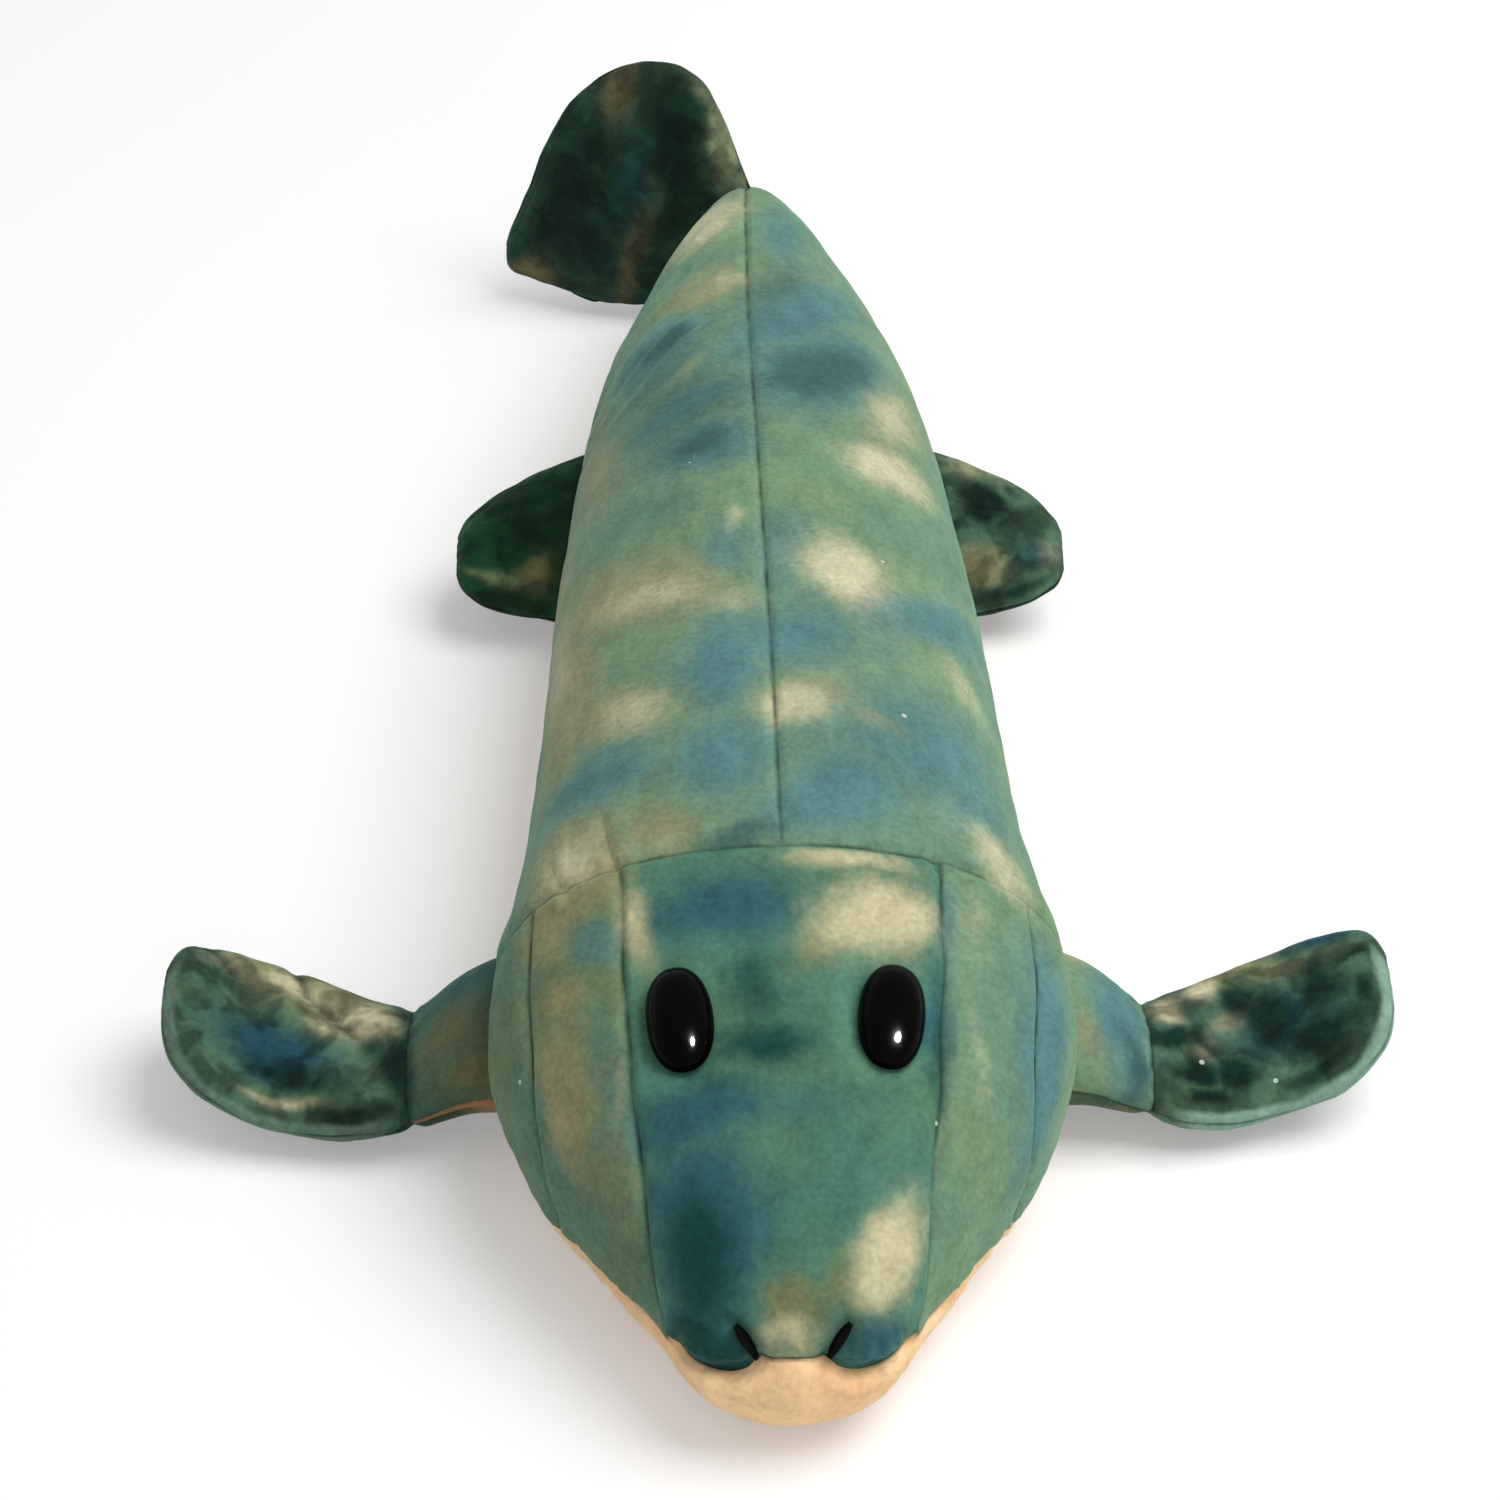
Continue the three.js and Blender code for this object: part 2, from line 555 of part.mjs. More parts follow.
const grown = 2 * fitClearance;
const eyeSeatCut = ovalPrism(eyeWidth + grown, eyeLength + grown, -eyeSeatDepth, eyeDome + cutOverrun);
const postBore = 2 * (postRadius + postRibHeight + fitClearance);
const eyePostCut = ovalPrism(postBore, postBore, -(postLength + eyeSeatDepth + grown), cutOverrun);
const washerRoom = ovalPrism(
  2 * (washerRadius + fitClearance),
  2 * (washerRadius + fitClearance),
  washerTop - washerThickness - fitClearance,
  cutOverrun,
);
const nostrilShape = (more) =>
  solidOf(
    new THREE.SphereGeometry(1, 8, 6).scale(
      nostrilWidth / 2 + more,
      nostrilLength / 2 + more,
      nostrilHeight / 2 + more,
    ),
  );

const mirrored = (angle) => 180 - angle;
const crownAt = (at) => crownSeam(headShareOf(at));
const neckCut = solidOf(
  new THREE.BoxGeometry(headWidth * 2, seamGap, headHeight * 3).translate(0, neckY, 0),
);
let crown = headPanel(headRows(0), crownAt, (at) => mirrored(crownAt(at)), 8, noGap);
let headFilling = filling(bodyPoint, headRows(0), fillingSides, fillingInset);
headFilling = onFloor(headFilling).subtract(neckCut);
for (const seat of eyeSeats) {
  crown = crown.subtract(moved(eyeSeatCut, seat)).subtract(moved(eyePostCut, seat));
  headFilling = headFilling.subtract(moved(washerRoom, seat)).subtract(moved(eyePostCut, seat));
}
for (const seat of nostrilSeats) crown = crown.subtract(moved(nostrilShape(fitClearance), seat));
piece(toy, "crown_panel", crown, clothTeal);
piece(toy, "head_filling", headFilling, fibre);

const chinSeam = track(chinSeamDegrees, "along", "at");
const chinAt = (at) => chinSeam(headShareOf(at));
const cheekFront = cheekFrontShare * headLength;
const gillFront = gillFrontShare * headLength;
const gillAt = (at) => (at < gillFront - seamGap ? chinAt(at) : gillSeam(headShareOf(at)));
for (const side of ["left", "right"]) {
  const place = (low, high) =>
    side === "left" ? [low, high] : [(at) => mirrored(high(at)), (at) => mirrored(low(at))];
  const cheekSpan = place(gillAt, crownAt);
  const gillSpan = place(chinAt, gillAt);
  const cheek = headPanel(headRows(cheekFront), ...cheekSpan, 4, halfGap);
  const gill = headPanel(headRows(gillFront), ...gillSpan, 3, halfGap);
  piece(toy, `cheek_panel_${side}`, cheek, clothGreen);
  piece(toy, `gill_panel_${side}`, gill, clothTeal);
}
const chinSpan = [(at) => mirrored(chinAt(at)), (at) => 360 + chinAt(at)];
piece(toy, "chin_panel", headPanel(headRows(0), ...chinSpan, 10, noGap), clothPeach);

// Trunk and tail stem: two back panels and the belly
const trunkRows = rowsBetween(headLength, bodyLength, bodyPlaces);
const trunkColumns = 7;
const bellySeamDegrees = -chinAt(headLength);
function trunkPanel(low, high) {
  const [from, to] = [() => low, () => high];
  const gaps = [halfGap, noGap];
  return onFloor(clothPanel(bodyPoint, trunkRows, from, to, trunkColumns, seamValley, gaps));
}
piece(toy, "back_panel_left", trunkPanel(-bellySeamDegrees, 90), clothGreen);
piece(toy, "back_panel_right", trunkPanel(90, 180 + bellySeamDegrees), clothGreen);
piece(toy, "belly_panel", trunkPanel(180 + bellySeamDegrees, 360 - bellySeamDegrees), clothPeach);
const trunkFilling = filling(bodyPoint, trunkRows, fillingSides, fillingInset);
piece(toy, "trunk_filling", onFloor(trunkFilling).subtract(neckCut), fibre);

// Eyes, their washers and the nostrils
for (const [i, side] of ["left", "right"].entries()) {
  piece(toy, `eye_${side}`, moved(eye(), eyeSeats[i]), eyePlastic);
  piece(toy, `eye_washer_${side}`, moved(washer(), eyeSeats[i]), washerPlastic);
  piece(toy, `nostril_stitch_${side}`, moved(nostrilShape(noGap), nostrilSeats[i]), blackThread);
}

// Fins. Each is a top panel, an under panel and a thin filling, on one side of the body.
const left = new THREE.Vector3(1, 0, 0);
const rear = new THREE.Vector3(0, 1, 0);
const up = new THREE.Vector3(0, 0, 1);
const flapAxis = new THREE.Vector3(0, -1, 0);

function finPieces(form, places, gaps, clear) {
  const panel = (low, high) => {
    const [from, to] = [() => low, () => high];
    return clear(clothPanel(form.point, places, from, to, finColumns, finSeamValley, gaps));
  };
  const inset = clothThickness + finSeamValley + fillingGap;
  const last = places.length - 1;
  const inner = places.map((p, i) => p + (i === 0 ? gaps[0] : 0) - (i === last ? gaps[1] : 0));
  if (places[last] === 1) inner.pop(); // the closed tip holds no filling
  const core = clear(filling(form.point, inner, finFillingSides, inset));
  return { top: panel(0, 180), under: panel(180, 360), core };
}

// The place on the body's left side at a height over the floor, found by halving.
function sidePoint(at, height) {
  let [low, high] = [-89, 0];
  for (let i = 0; i < 40; i++) {
    const middle = (low + high) / 2;
    if (bodyPoint(at, middle).z < height) low = middle;
    else high = middle;
  }
  return bodyPoint(at, high);
}

function mirroredCopy(group) {
  const copy = group.clone();
  copy.position.x *= -1;
  copy.scale.x = -1;
  copy.traverse((o) => {
    o.name = o.name.replace("left", "right");
  });
  return copy;
}

const shoulder = sidePoint(headLength + frontFinBehindNeck, frontFinHeight);
const frontFin = finForm(frontFinShares, frontFinSpan, frontFinChord, shoulder, left, rear);
const frontPlaces = frontFinShares.map((row) => row.span);
const wrist = frontFin.centre(wristShare);
const armPlaces = rowsBetween(frontPlaces[0], wristShare, frontPlaces);
const bladePlaces = rowsBetween(wristShare, 1, frontPlaces);
const wristGap = halfGap / frontFinSpan;
const armGroup = new THREE.Group();
armGroup.position.copy(shoulder);
const bladeGroup = new THREE.Group();
bladeGroup.position.copy(wrist).sub(shoulder);
armGroup.add(bladeGroup);
const clearOfBody = (solid) => clearedOf(solid, bodyEnvelope, shoulder, flapAxis, shoulderRange);
const arm = finPieces(frontFin, armPlaces, [0, wristGap], clearOfBody);
const armEnvelope = filling(frontFin.point, armPlaces, envelopeSides / 2, -rootClearance);
const clearOfArm = (solid) => clearedOf(solid, armEnvelope, wrist, flapAxis, wristRange);
const blade = finPieces(frontFin, bladePlaces, [wristGap, 0], clearOfArm);
piece(armGroup, "arm_top_left", arm.top, clothTeal);
piece(armGroup, "arm_under_left", arm.under, clothPeach);
piece(armGroup, "arm_filling_left", arm.core, fibre);
piece(bladeGroup, "blade_top_left", blade.top, clothDark);
piece(bladeGroup, "blade_under_left", blade.under, clothDark);
piece(bladeGroup, "blade_filling_left", blade.core, fibre);
toy.add(armGroup, mirroredCopy(armGroup));

const hip = sidePoint(headLength + hindFinBehindNeck, hindFinHeight);
const hindFin = finForm(hindFinShares, hindFinSpan, hindFinChord, hip, left, rear);
const hindPlaces = hindFinShares.map((row) => row.span);
const hindGroup = new THREE.Group();
hindGroup.position.copy(hip);
const hind = finPieces(hindFin, hindPlaces, [0, 0], (solid) =>
  clearedOf(solid, bodyEnvelope, hip, flapAxis, hindFinRange),
);
piece(hindGroup, "hind_fin_top_left", hind.top, clothDark);
piece(hindGroup, "hind_fin_under_left", hind.under, clothDark);
piece(hindGroup, "hind_fin_filling_left", hind.core, fibre);
toy.add(hindGroup, mirroredCopy(hindGroup));

// The tail fin is built straight behind the stem, then bent with its group about the hinge line.
const tailHinge = new THREE.Vector3(0, lipY + bodyLength + tailFinRootInset, 0);
const bend = THREE.MathUtils.degToRad(tailBend);
const outward = rear.clone().applyAxisAngle(up, bend);
const tailFin = finForm(tailFinShares, tailFinSpan, tailFinChord, tailHinge, outward, up);
const tailGroup = new THREE.Group();
tailGroup.position.copy(tailHinge);
tailGroup.rotation.z = bend;
const tailPlaces = tailFinShares.map((row) => row.span);
const tail = finPieces(tailFin, tailPlaces, [0, 0], (solid) =>
  clearedOf(solid, bodyEnvelope, tailHinge, up, tailFinRange),
);
piece(tailGroup, "tail_fin_panel_left", tail.top, clothDark);
piece(tailGroup, "tail_fin_panel_right", tail.under, clothDark);
piece(tailGroup, "tail_fin_filling", tail.core, fibre);
toy.add(tailGroup);

export default toy;
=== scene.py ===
# %% [markdown]
# # A plush tiktaalik: sewn, stuffed and dyed
# The toy is a stuffed fish with limbs, lying on its belly. A plain model of it already holds every
# piece in its place, so this lesson only makes the looks: cloth panels that swell between their
# seams, a blotchy dye, black safety eyes and a soft studio. All lengths are in metres.

# %% Load the plain model
import json
import math

import bpy
import numpy as np
from mathutils import Matrix, Vector, noise
from mathutils.kdtree import KDTree

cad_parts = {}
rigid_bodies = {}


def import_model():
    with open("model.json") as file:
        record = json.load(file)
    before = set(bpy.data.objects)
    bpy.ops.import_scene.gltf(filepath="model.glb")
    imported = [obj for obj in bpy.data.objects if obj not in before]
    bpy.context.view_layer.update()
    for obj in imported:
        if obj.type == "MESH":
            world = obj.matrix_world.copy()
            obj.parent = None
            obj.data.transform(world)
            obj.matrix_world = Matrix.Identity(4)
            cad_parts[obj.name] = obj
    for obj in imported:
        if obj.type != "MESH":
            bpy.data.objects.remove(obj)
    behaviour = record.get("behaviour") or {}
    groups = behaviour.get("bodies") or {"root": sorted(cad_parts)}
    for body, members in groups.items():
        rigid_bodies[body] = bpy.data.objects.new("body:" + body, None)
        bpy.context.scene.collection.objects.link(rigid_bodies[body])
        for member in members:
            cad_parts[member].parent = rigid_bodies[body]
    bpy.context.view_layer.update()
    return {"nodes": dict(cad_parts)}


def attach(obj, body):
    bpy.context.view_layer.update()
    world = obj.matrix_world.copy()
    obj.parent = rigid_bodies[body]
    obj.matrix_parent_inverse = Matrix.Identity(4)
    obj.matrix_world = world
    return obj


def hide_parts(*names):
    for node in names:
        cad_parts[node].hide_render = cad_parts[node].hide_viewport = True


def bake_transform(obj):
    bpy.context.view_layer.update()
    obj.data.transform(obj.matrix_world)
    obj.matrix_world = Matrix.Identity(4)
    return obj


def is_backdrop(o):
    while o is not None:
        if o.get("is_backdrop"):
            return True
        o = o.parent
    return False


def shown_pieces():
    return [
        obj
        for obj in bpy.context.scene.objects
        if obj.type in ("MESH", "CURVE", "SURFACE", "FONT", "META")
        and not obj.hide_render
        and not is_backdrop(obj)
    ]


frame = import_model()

MM = 0.001
SIDES = ("left", "right")  # the toy's own

# %% [markdown]
# ## The camera
# The toy was photographed from in front and well above. The camera comes first, because every later
# choice is judged through it: a long lens, 650 mm from the middle of the back.

# %% Camera
VIEW_DISTANCE = 650 * MM
VIEW_HEIGHT_DEGREES = 38
VIEW_TURN_DEGREES = 1.1665
LENS_MM, SENSOR_MM = 80.62, 36
LOOKED_AT = Vector((-3.959, -79.682, 30)) * MM
height, turn = math.radians(VIEW_HEIGHT_DEGREES), math.radians(VIEW_TURN_DEGREES)
towards = Vector((math.sin(turn) * math.cos(height), math.cos(turn) * math.cos(height), -math.sin(height)))
bpy.ops.object.select_all(action="DESELECT")
bpy.ops.object.camera_add(location=LOOKED_AT - VIEW_DISTANCE * towards)
camera = bpy.context.active_object
camera.rotation_euler = towards.to_track_quat("-Z", "Y").to_euler()
camera.data.sensor_width, camera.data.lens = SENSOR_MM, LENS_MM
camera.data.clip_start, camera.data.clip_end = 0.01, 20
bpy.context.scene.camera = camera
print("camera at", [round(c, 4) for c in camera.location])

# %% [markdown]
# ## The shape of the body
# A stuffed toy's shape is easiest to give as cross-sections along its length, the way a boat is
# drawn: half width, top, widest height, underside, and how square the section is. A smooth curve
# runs through each column of the table, and never swings past its numbers.

# %% Smooth curves through a table
def curve_through(xs, ys):
    """A smooth function through the points (xs, ys) that never swings past them."""
    xs, ys = np.asarray(xs, float), np.asarray(ys, float)
    rise = np.diff(ys) / np.diff(xs)
    before, after = rise[:-1], rise[1:]
    together = before * after > 0
    middle = np.where(together, 2 * before * after / np.where(together, before + after, 1), 0)
    slope = np.concatenate([rise[:1], middle, rise[-1:]])

    def value(x):
        x = np.asarray(x, float)
        i = np.clip(np.searchsorted(xs, x, side="right") - 1, 0, len(xs) - 2)
        width = xs[i + 1] - xs[i]
        t = np.clip((x - xs[i]) / width, 0, 1)
        return (
            (2 * t**3 - 3 * t**2 + 1) * ys[i]
            + (t**3 - 2 * t**2 + t) * width * slope[i]
            + (3 * t**2 - 2 * t**3) * ys[i + 1]
            + (t**3 - t**2) * width * slope[i + 1]
        )

    return value


def smooth(t):
    """0 before 0, 1 after 1, and a soft step between."""
    t = np.clip(t, 0, 1)
    return t * t * (3 - 2 * t)


def bell(t):
    """1 at 0, fading evenly to both sides."""
    return np.exp(-(t**2))


def bent(value, power):
    """A sine or cosine, bent so that it draws a squarer section where the power is over 2."""
    return np.sign(value) * np.abs(value) ** (2 / power)


# %% Cross-sections of the head and trunk
HEAD_LENGTH, TRUNK_LENGTH = 81 * MM, 287 * MM
BODY_LENGTH = HEAD_LENGTH + TRUNK_LENGTH
NECK_Y = -146 * MM
LIP_Y = NECK_Y - HEAD_LENGTH
FLOOR_FLAT = 0.5 * MM
LIP_REACH, LIP_FADE = 4 * MM, 30 * MM  # how far the chin stands forward, and where that ends
HEAD_SIZE = (106 * MM, 63.5 * MM)  # width and height that the shares below are of
TRUNK_SIZE = (102 * MM, 66.5 * MM)
HEAD_SHARES = [  # along, width, top, widest height, underside, squareness above and below
    (0, 0.028, 0.32, 0.306, 0.292, 2, 2),
    (0.008, 0.16, 0.37, 0.306, 0.17, 2, 2),
    (0.036, 0.28, 0.425, 0.307, 0.085, 2.1, 2.1),
    (0.062, 0.335, 0.46, 0.309, 0.05, 2.2, 2.2),
    (0.1, 0.38, 0.5, 0.312, 0.02, 2.3, 2.3),
    (0.17, 0.45, 0.56, 0.32, 0.006, 2.5, 2.4),
    (0.28, 0.57, 0.64, 0.333, 0, 2.5, 2.5),
    (0.42, 0.725, 0.73, 0.355, 0, 2.4, 2.5),
    (0.46, 0.775, 0.752, 0.363, 0, 2.4, 2.5),
    (0.59, 0.885, 0.82, 0.39, 0, 2.3, 2.5),
    (0.79, 0.99, 0.92, 0.435, 0, 2.2, 2.4),
    (1, 0.985, 1, 0.467, 0, 2.1, 2.4),
]
TRUNK_SHARES = [
    (0.045, 0.968, 0.975, 0.458, 0, 2.1, 2.4),
    (0.12, 0.918, 1, 0.465, 0, 2.1, 2.4),
    (0.4, 0.84, 0.98, 0.46, 0, 2.1, 2.4),
    (0.53, 0.785, 0.94, 0.45, 0, 2.1, 2.4),
    (0.65, 0.7, 0.885, 0.435, 0, 2.1, 2.4),
    (0.75, 0.59, 0.825, 0.415, 0, 2, 2.2),
    (0.84, 0.455, 0.755, 0.395, 0.008, 2, 2),
    (0.92, 0.325, 0.67, 0.37, 0.035, 2, 2),
    (0.972, 0.2, 0.585, 0.35, 0.1, 2, 2),
    (1, 0.03, 0.48, 0.335, 0.19, 2, 2),
]


def stations(shares, length, size, start):
    width, tall = size
    return [
        (start + s[0] * length, s[1] * width / 2, s[2] * tall, s[3] * tall, s[4] * tall, s[5], s[6])
        for s in shares
    ]


body_stations = np.array(
    stations(HEAD_SHARES, HEAD_LENGTH, HEAD_SIZE, 0)
    + stations(TRUNK_SHARES, TRUNK_LENGTH, TRUNK_SIZE, HEAD_LENGTH)
)
body_curves = [curve_through(body_stations[:, 0], body_stations[:, i]) for i in range(1, 7)]


def body_point(at, angle, inset=0.0):
    """Points of the body's form, at this far behind the lip: angle 0 is the toy's left, 90 the crown."""
    half, top, middle, under, power_over, power_under = (c(at) for c in body_curves)
    c, s = np.cos(np.radians(angle)), np.sin(np.radians(angle))
    power = np.where(s >= 0, power_over, power_under)
    reach = np.where(s >= 0, top - middle, middle - under)
    rise = np.maximum(reach - inset, 0.2 * reach) * bent(s, power)
    chin = LIP_REACH * (1 - smooth(at / LIP_FADE)) * smooth(-rise / LIP_REACH)
    x = np.maximum(half - inset, 0.2 * half) * bent(c, power)
    z = np.maximum(middle + rise - FLOOR_FLAT, 0)
    return np.stack([x, LIP_Y + at - chin, z], -1)


print("body length", BODY_LENGTH, "widest", 2 * body_stations[:, 1].max())

# %% [markdown]
# ## Cutting the cloth
# Sewn panels meet along seams: two over the head from the mouth to the neck, one down the spine,
# one round the neck, and pairs over the gills and along the belly. The form gets a net of rows and
# columns, with a column along each seam. A panel is a flat grid, added by the grid operator and
# laid over its part of the net, so neighbours share the very same corners along a seam.

# %% The net of rows and columns
# Each seam: shares of the head's length, and the angle round the body there.
CROWN_SEAM = (
    [0, 0.11, 0.15, 0.2, 0.28, 0.36, 0.45, 0.55, 0.77, 1],
    [-5, -5, 3, 21, 39, 48, 54, 58, 60, 58],
)
GILL_SEAM = ([0.46, 0.52, 0.59, 0.68, 0.77, 1], [-9, 10, 22, 30, 33, 33])
CHIN_SEAM = ([0, 0.17, 0.28, 0.5, 0.77, 1], [-5, -5, -8, -16, -18, -18])
GILL_FRONT = 0.46
SPINE_LEAN_DEGREES = 4  # towards the toy's right at the tail, as the seam was sewn
crown_seam, gill_seam, chin_seam = (curve_through(*seam) for seam in (CROWN_SEAM, GILL_SEAM, CHIN_SEAM))
GILL, CHEEK, HALF_CROWN, CHIN = 6, 7, 10, 20  # columns of each
FRONT_ROWS, GILL_ROWS, TRUNK_ROWS = 16, 13, 88
SIDE = GILL + CHEEK
SPINE = SIDE + HALF_CROWN
UPPER = 2 * SPINE
AROUND = UPPER + CHIN


def spread(count, gather):
    """Places from 0 to 1, closer together near both ends."""
    t = np.linspace(0, 1, count + 1)
    return t - gather * np.sin(2 * np.pi * t) / (2 * np.pi)


# The front rows crowd together over the lip.
front_rows = GILL_FRONT * HEAD_LENGTH * np.linspace(0, 1, FRONT_ROWS + 1) ** 1.8
gill_rows = GILL_FRONT * HEAD_LENGTH + (1 - GILL_FRONT) * HEAD_LENGTH * spread(GILL_ROWS, 0.4)
trunk_rows = HEAD_LENGTH + TRUNK_LENGTH * spread(TRUNK_ROWS, 0.5)
row_places = np.concatenate([front_rows, gill_rows[1:], trunk_rows[1:]])
NECK_ROW, LAST_ROW = FRONT_ROWS + GILL_ROWS, len(row_places) - 1
chin_at_gill = float(chin_seam(GILL_FRONT))
gill_share = (float(gill_seam(GILL_FRONT)) - chin_at_gill) / (float(crown_seam(GILL_FRONT)) - chin_at_gill)


def row_angles(at):
    """Where each column crosses the row at this place, in degrees round the body."""
    share = min(at / HEAD_LENGTH, 1)
    crown, chin = float(crown_seam(share)), float(chin_seam(share))
    gill = float(gill_seam(share)) if share >= GILL_FRONT else chin + (crown - chin) * gill_share
    left = np.concatenate(
        [
            chin + (gill - chin) * spread(GILL, 0.3)[:-1],
            gill + (crown - gill) * spread(CHEEK, 0.3)[:-1],
            (crown + (180 - 2 * crown) * spread(2 * HALF_CROWN, 0.4))[:HALF_CROWN],
        ]
    )
    if at > HEAD_LENGTH:
        own = chin + (90 - chin) * spread(SPINE, 0.4)[:-1]
        left = left + (own - left) * smooth((at - HEAD_LENGTH) / (50 * MM))
    under = 180 - chin + (180 + 2 * chin) * spread(CHIN, 0.3)
    around = np.concatenate([left, [90], 180 - left[::-1], under[1:]])
    lean = SPINE_LEAN_DEGREES * smooth((at - HEAD_LENGTH) / TRUNK_LENGTH)
    return around + lean * np.maximum(np.sin(np.radians(around)), 0) ** 2


def cloth_places(at, angles):
    """How far each point is from the crown line, measured over the cloth."""
    turn = np.radians(np.arange(90, 271, 2.0))
    side = body_point(at, np.degrees(turn))
    length = np.concatenate([[0], np.cumsum(np.linalg.norm(np.diff(side, axis=0), axis=1))])
    off = (np.asarray(angles) - 90 + 180) % 360 - 180
    return -np.sign(off) * np.interp(np.abs(off), np.degrees(turn) - 90, length)


net_angles = np.array([row_angles(at) for at in row_places])
net_across = np.array([cloth_places(at, angles) for at, angles in zip(row_places, net_angles)])
REST_INSET = 0.8 * MM  # the cloth starts a little small, because it swells
net_points = np.array(
    [body_point(np.full(AROUND + 1, at), a, REST_INSET) for at, a in zip(row_places, net_angles)]
)
net_points[0] = (0, LIP_Y, net_points[0, 0, 2])  # the lip closes in a point
print("net", net_points.shape[:2])


# %% Laying panels on the net
def only(*pieces):
    """Select just these pieces, the first one active."""
    bpy.ops.object.select_all(action="DESELECT")
    for piece in pieces:
        piece.select_set(True)
    bpy.context.view_layer.objects.active = pieces[0]


def corners(piece):
    place = np.empty(len(piece.data.vertices) * 3)
    piece.data.vertices.foreach_get("co", place)
    return place.reshape(-1, 3)


def put_corners(piece, place):
    piece.data.vertices.foreach_set("co", np.asarray(place, float).ravel())
    piece.data.update()


def lay_panel(net, spots, rows, columns, cloth_of):
    """A flat grid of cloth laid over part of a net. Its corners keep their spots, its faces their cloth."""
    (first, last), (low, high) = rows, columns
    bpy.ops.object.select_all(action="DESELECT")
    bpy.ops.mesh.primitive_grid_add(x_subdivisions=high - low, y_subdivisions=last - first, size=1)
    panel = bpy.context.active_object
    flat = corners(panel) + 0.5
    column = low + np.rint(flat[:, 0] * (high - low)).astype(int)
    row = first + np.rint(flat[:, 1] * (last - first)).astype(int)
    put_corners(panel, net[row, column])
    spot = panel.data.attributes.new("spot", "FLOAT_VECTOR", "POINT")
    spot.data.foreach_set("vector", spots[row, column].astype(np.float32).ravel())
    middle_row = [np.mean(row[list(f.vertices)]) for f in panel.data.polygons]
    middle_column = [np.mean(column[list(f.vertices)]) for f in panel.data.polygons]
    cloth = panel.data.attributes.new("cloth", "INT", "FACE")
    cloth.data.foreach_set("value", [cloth_of(r, c) for r, c in zip(middle_row, middle_column)])
    return panel


def sew(name, panels, cloths):
    """Join panels into one closed piece, with a material slot for each cloth."""
    only(*panels)
    bpy.ops.object.join()
    piece = bpy.context.active_object
    piece.name = piece.data.name = name
    bpy.ops.object.mode_set(mode="EDIT")
    bpy.ops.mesh.select_all(action="SELECT")
    bpy.ops.mesh.remove_doubles(threshold=0.02 * MM)
    bpy.ops.mesh.select_all(action="DESELECT")
    bpy.ops.mesh.select_mode(type="EDGE")
    bpy.ops.mesh.select_non_manifold(extend=False, use_wire=False, use_multi_face=False)
    bpy.ops.mesh.edge_face_add()
    bpy.ops.mesh.select_mode(type="VERT")
    bpy.ops.mesh.select_all(action="SELECT")
    bpy.ops.mesh.normals_make_consistent(inside=False)
    bpy.ops.object.mode_set(mode="OBJECT")
    for cloth in cloths:
        piece.data.materials.append(bpy.data.materials.get(cloth) or bpy.data.materials.new(cloth))
    index = np.empty(len(piece.data.polygons), np.int32)
    piece.data.attributes["cloth"].data.foreach_get("value", index)
    piece.data.polygons.foreach_set("material_index", index)
    piece.data.attributes.remove(piece.data.attributes["cloth"])
    return piece


BODY_CLOTHS = [
    "crown_cloth", "cheek_cloth_left", "gill_cloth_left", "cheek_cloth_right", "gill_cloth_right",
    "chin_cloth", "back_cloth_left", "back_cloth_right", "belly_cloth",
]
CROWN_ID, CHEEK_L, GILL_L, CHEEK_R, GILL_R, CHIN_ID, BACK_L, BACK_R, BELLY_ID = range(9)
net_along = np.repeat(row_places[:, None], AROUND + 1, 1)
net_spots = np.stack([net_along, net_across, np.zeros_like(net_across)], -1)


def left_side(row, column):
    return GILL_L if row > FRONT_ROWS and column < GILL else CHEEK_L


def right_side(row, column):
    return GILL_R if row > FRONT_ROWS and column > UPPER - GILL else CHEEK_R


HEAD_ROWS, BODY_ROWS = (0, NECK_ROW), (NECK_ROW, LAST_ROW)
BODY_CUTS = [  # rows, columns, and which cloth a face is cut from
    (HEAD_ROWS, (SIDE, UPPER - SIDE), lambda row, column: CROWN_ID),
    (HEAD_ROWS, (0, SIDE), left_side),
    (HEAD_ROWS, (UPPER - SIDE, UPPER), right_side),
    (HEAD_ROWS, (UPPER, AROUND), lambda row, column: CHIN_ID),
    (BODY_ROWS, (0, SPINE), lambda row, column: BACK_L),
    (BODY_ROWS, (SPINE, UPPER), lambda row, column: BACK_R),
    (BODY_ROWS, (UPPER, AROUND), lambda row, column: BELLY_ID),
]
body_cloth = sew("body_cloth", [lay_panel(net_points, net_spots, *cut) for cut in BODY_CUTS], BODY_CLOTHS)
print("sewn body: corners", len(body_cloth.data.vertices), "faces", len(body_cloth.data.polygons))

# %% [markdown]
# ## Stuffing
# Cloth simulation with air pressure shows how filling pushes a panel out between its seams. The
# seams are held still, gravity is off, and twenty frames are enough. A cap on the movement keeps
# the toy at its real size, and nothing may go below the floor.

# %% Fill a sewn piece
AIR_PRESSURE, FILL_FRAMES = 4, 20
BODY_SWELL, FIN_SWELL = 2.2 * MM, 1.1 * MM  # the most that a corner may move


def seam_corners(piece):
    """The corners that lie on a seam: on an edge between two cloths."""
    cloth_beside = {}
    on_seam = np.zeros(len(piece.data.vertices), bool)
    for face in piece.data.polygons:
        for edge in face.edge_keys:
            other = cloth_beside.setdefault(edge, face.material_index)
            if other != face.material_index:
                on_seam[list(edge)] = True
    return on_seam


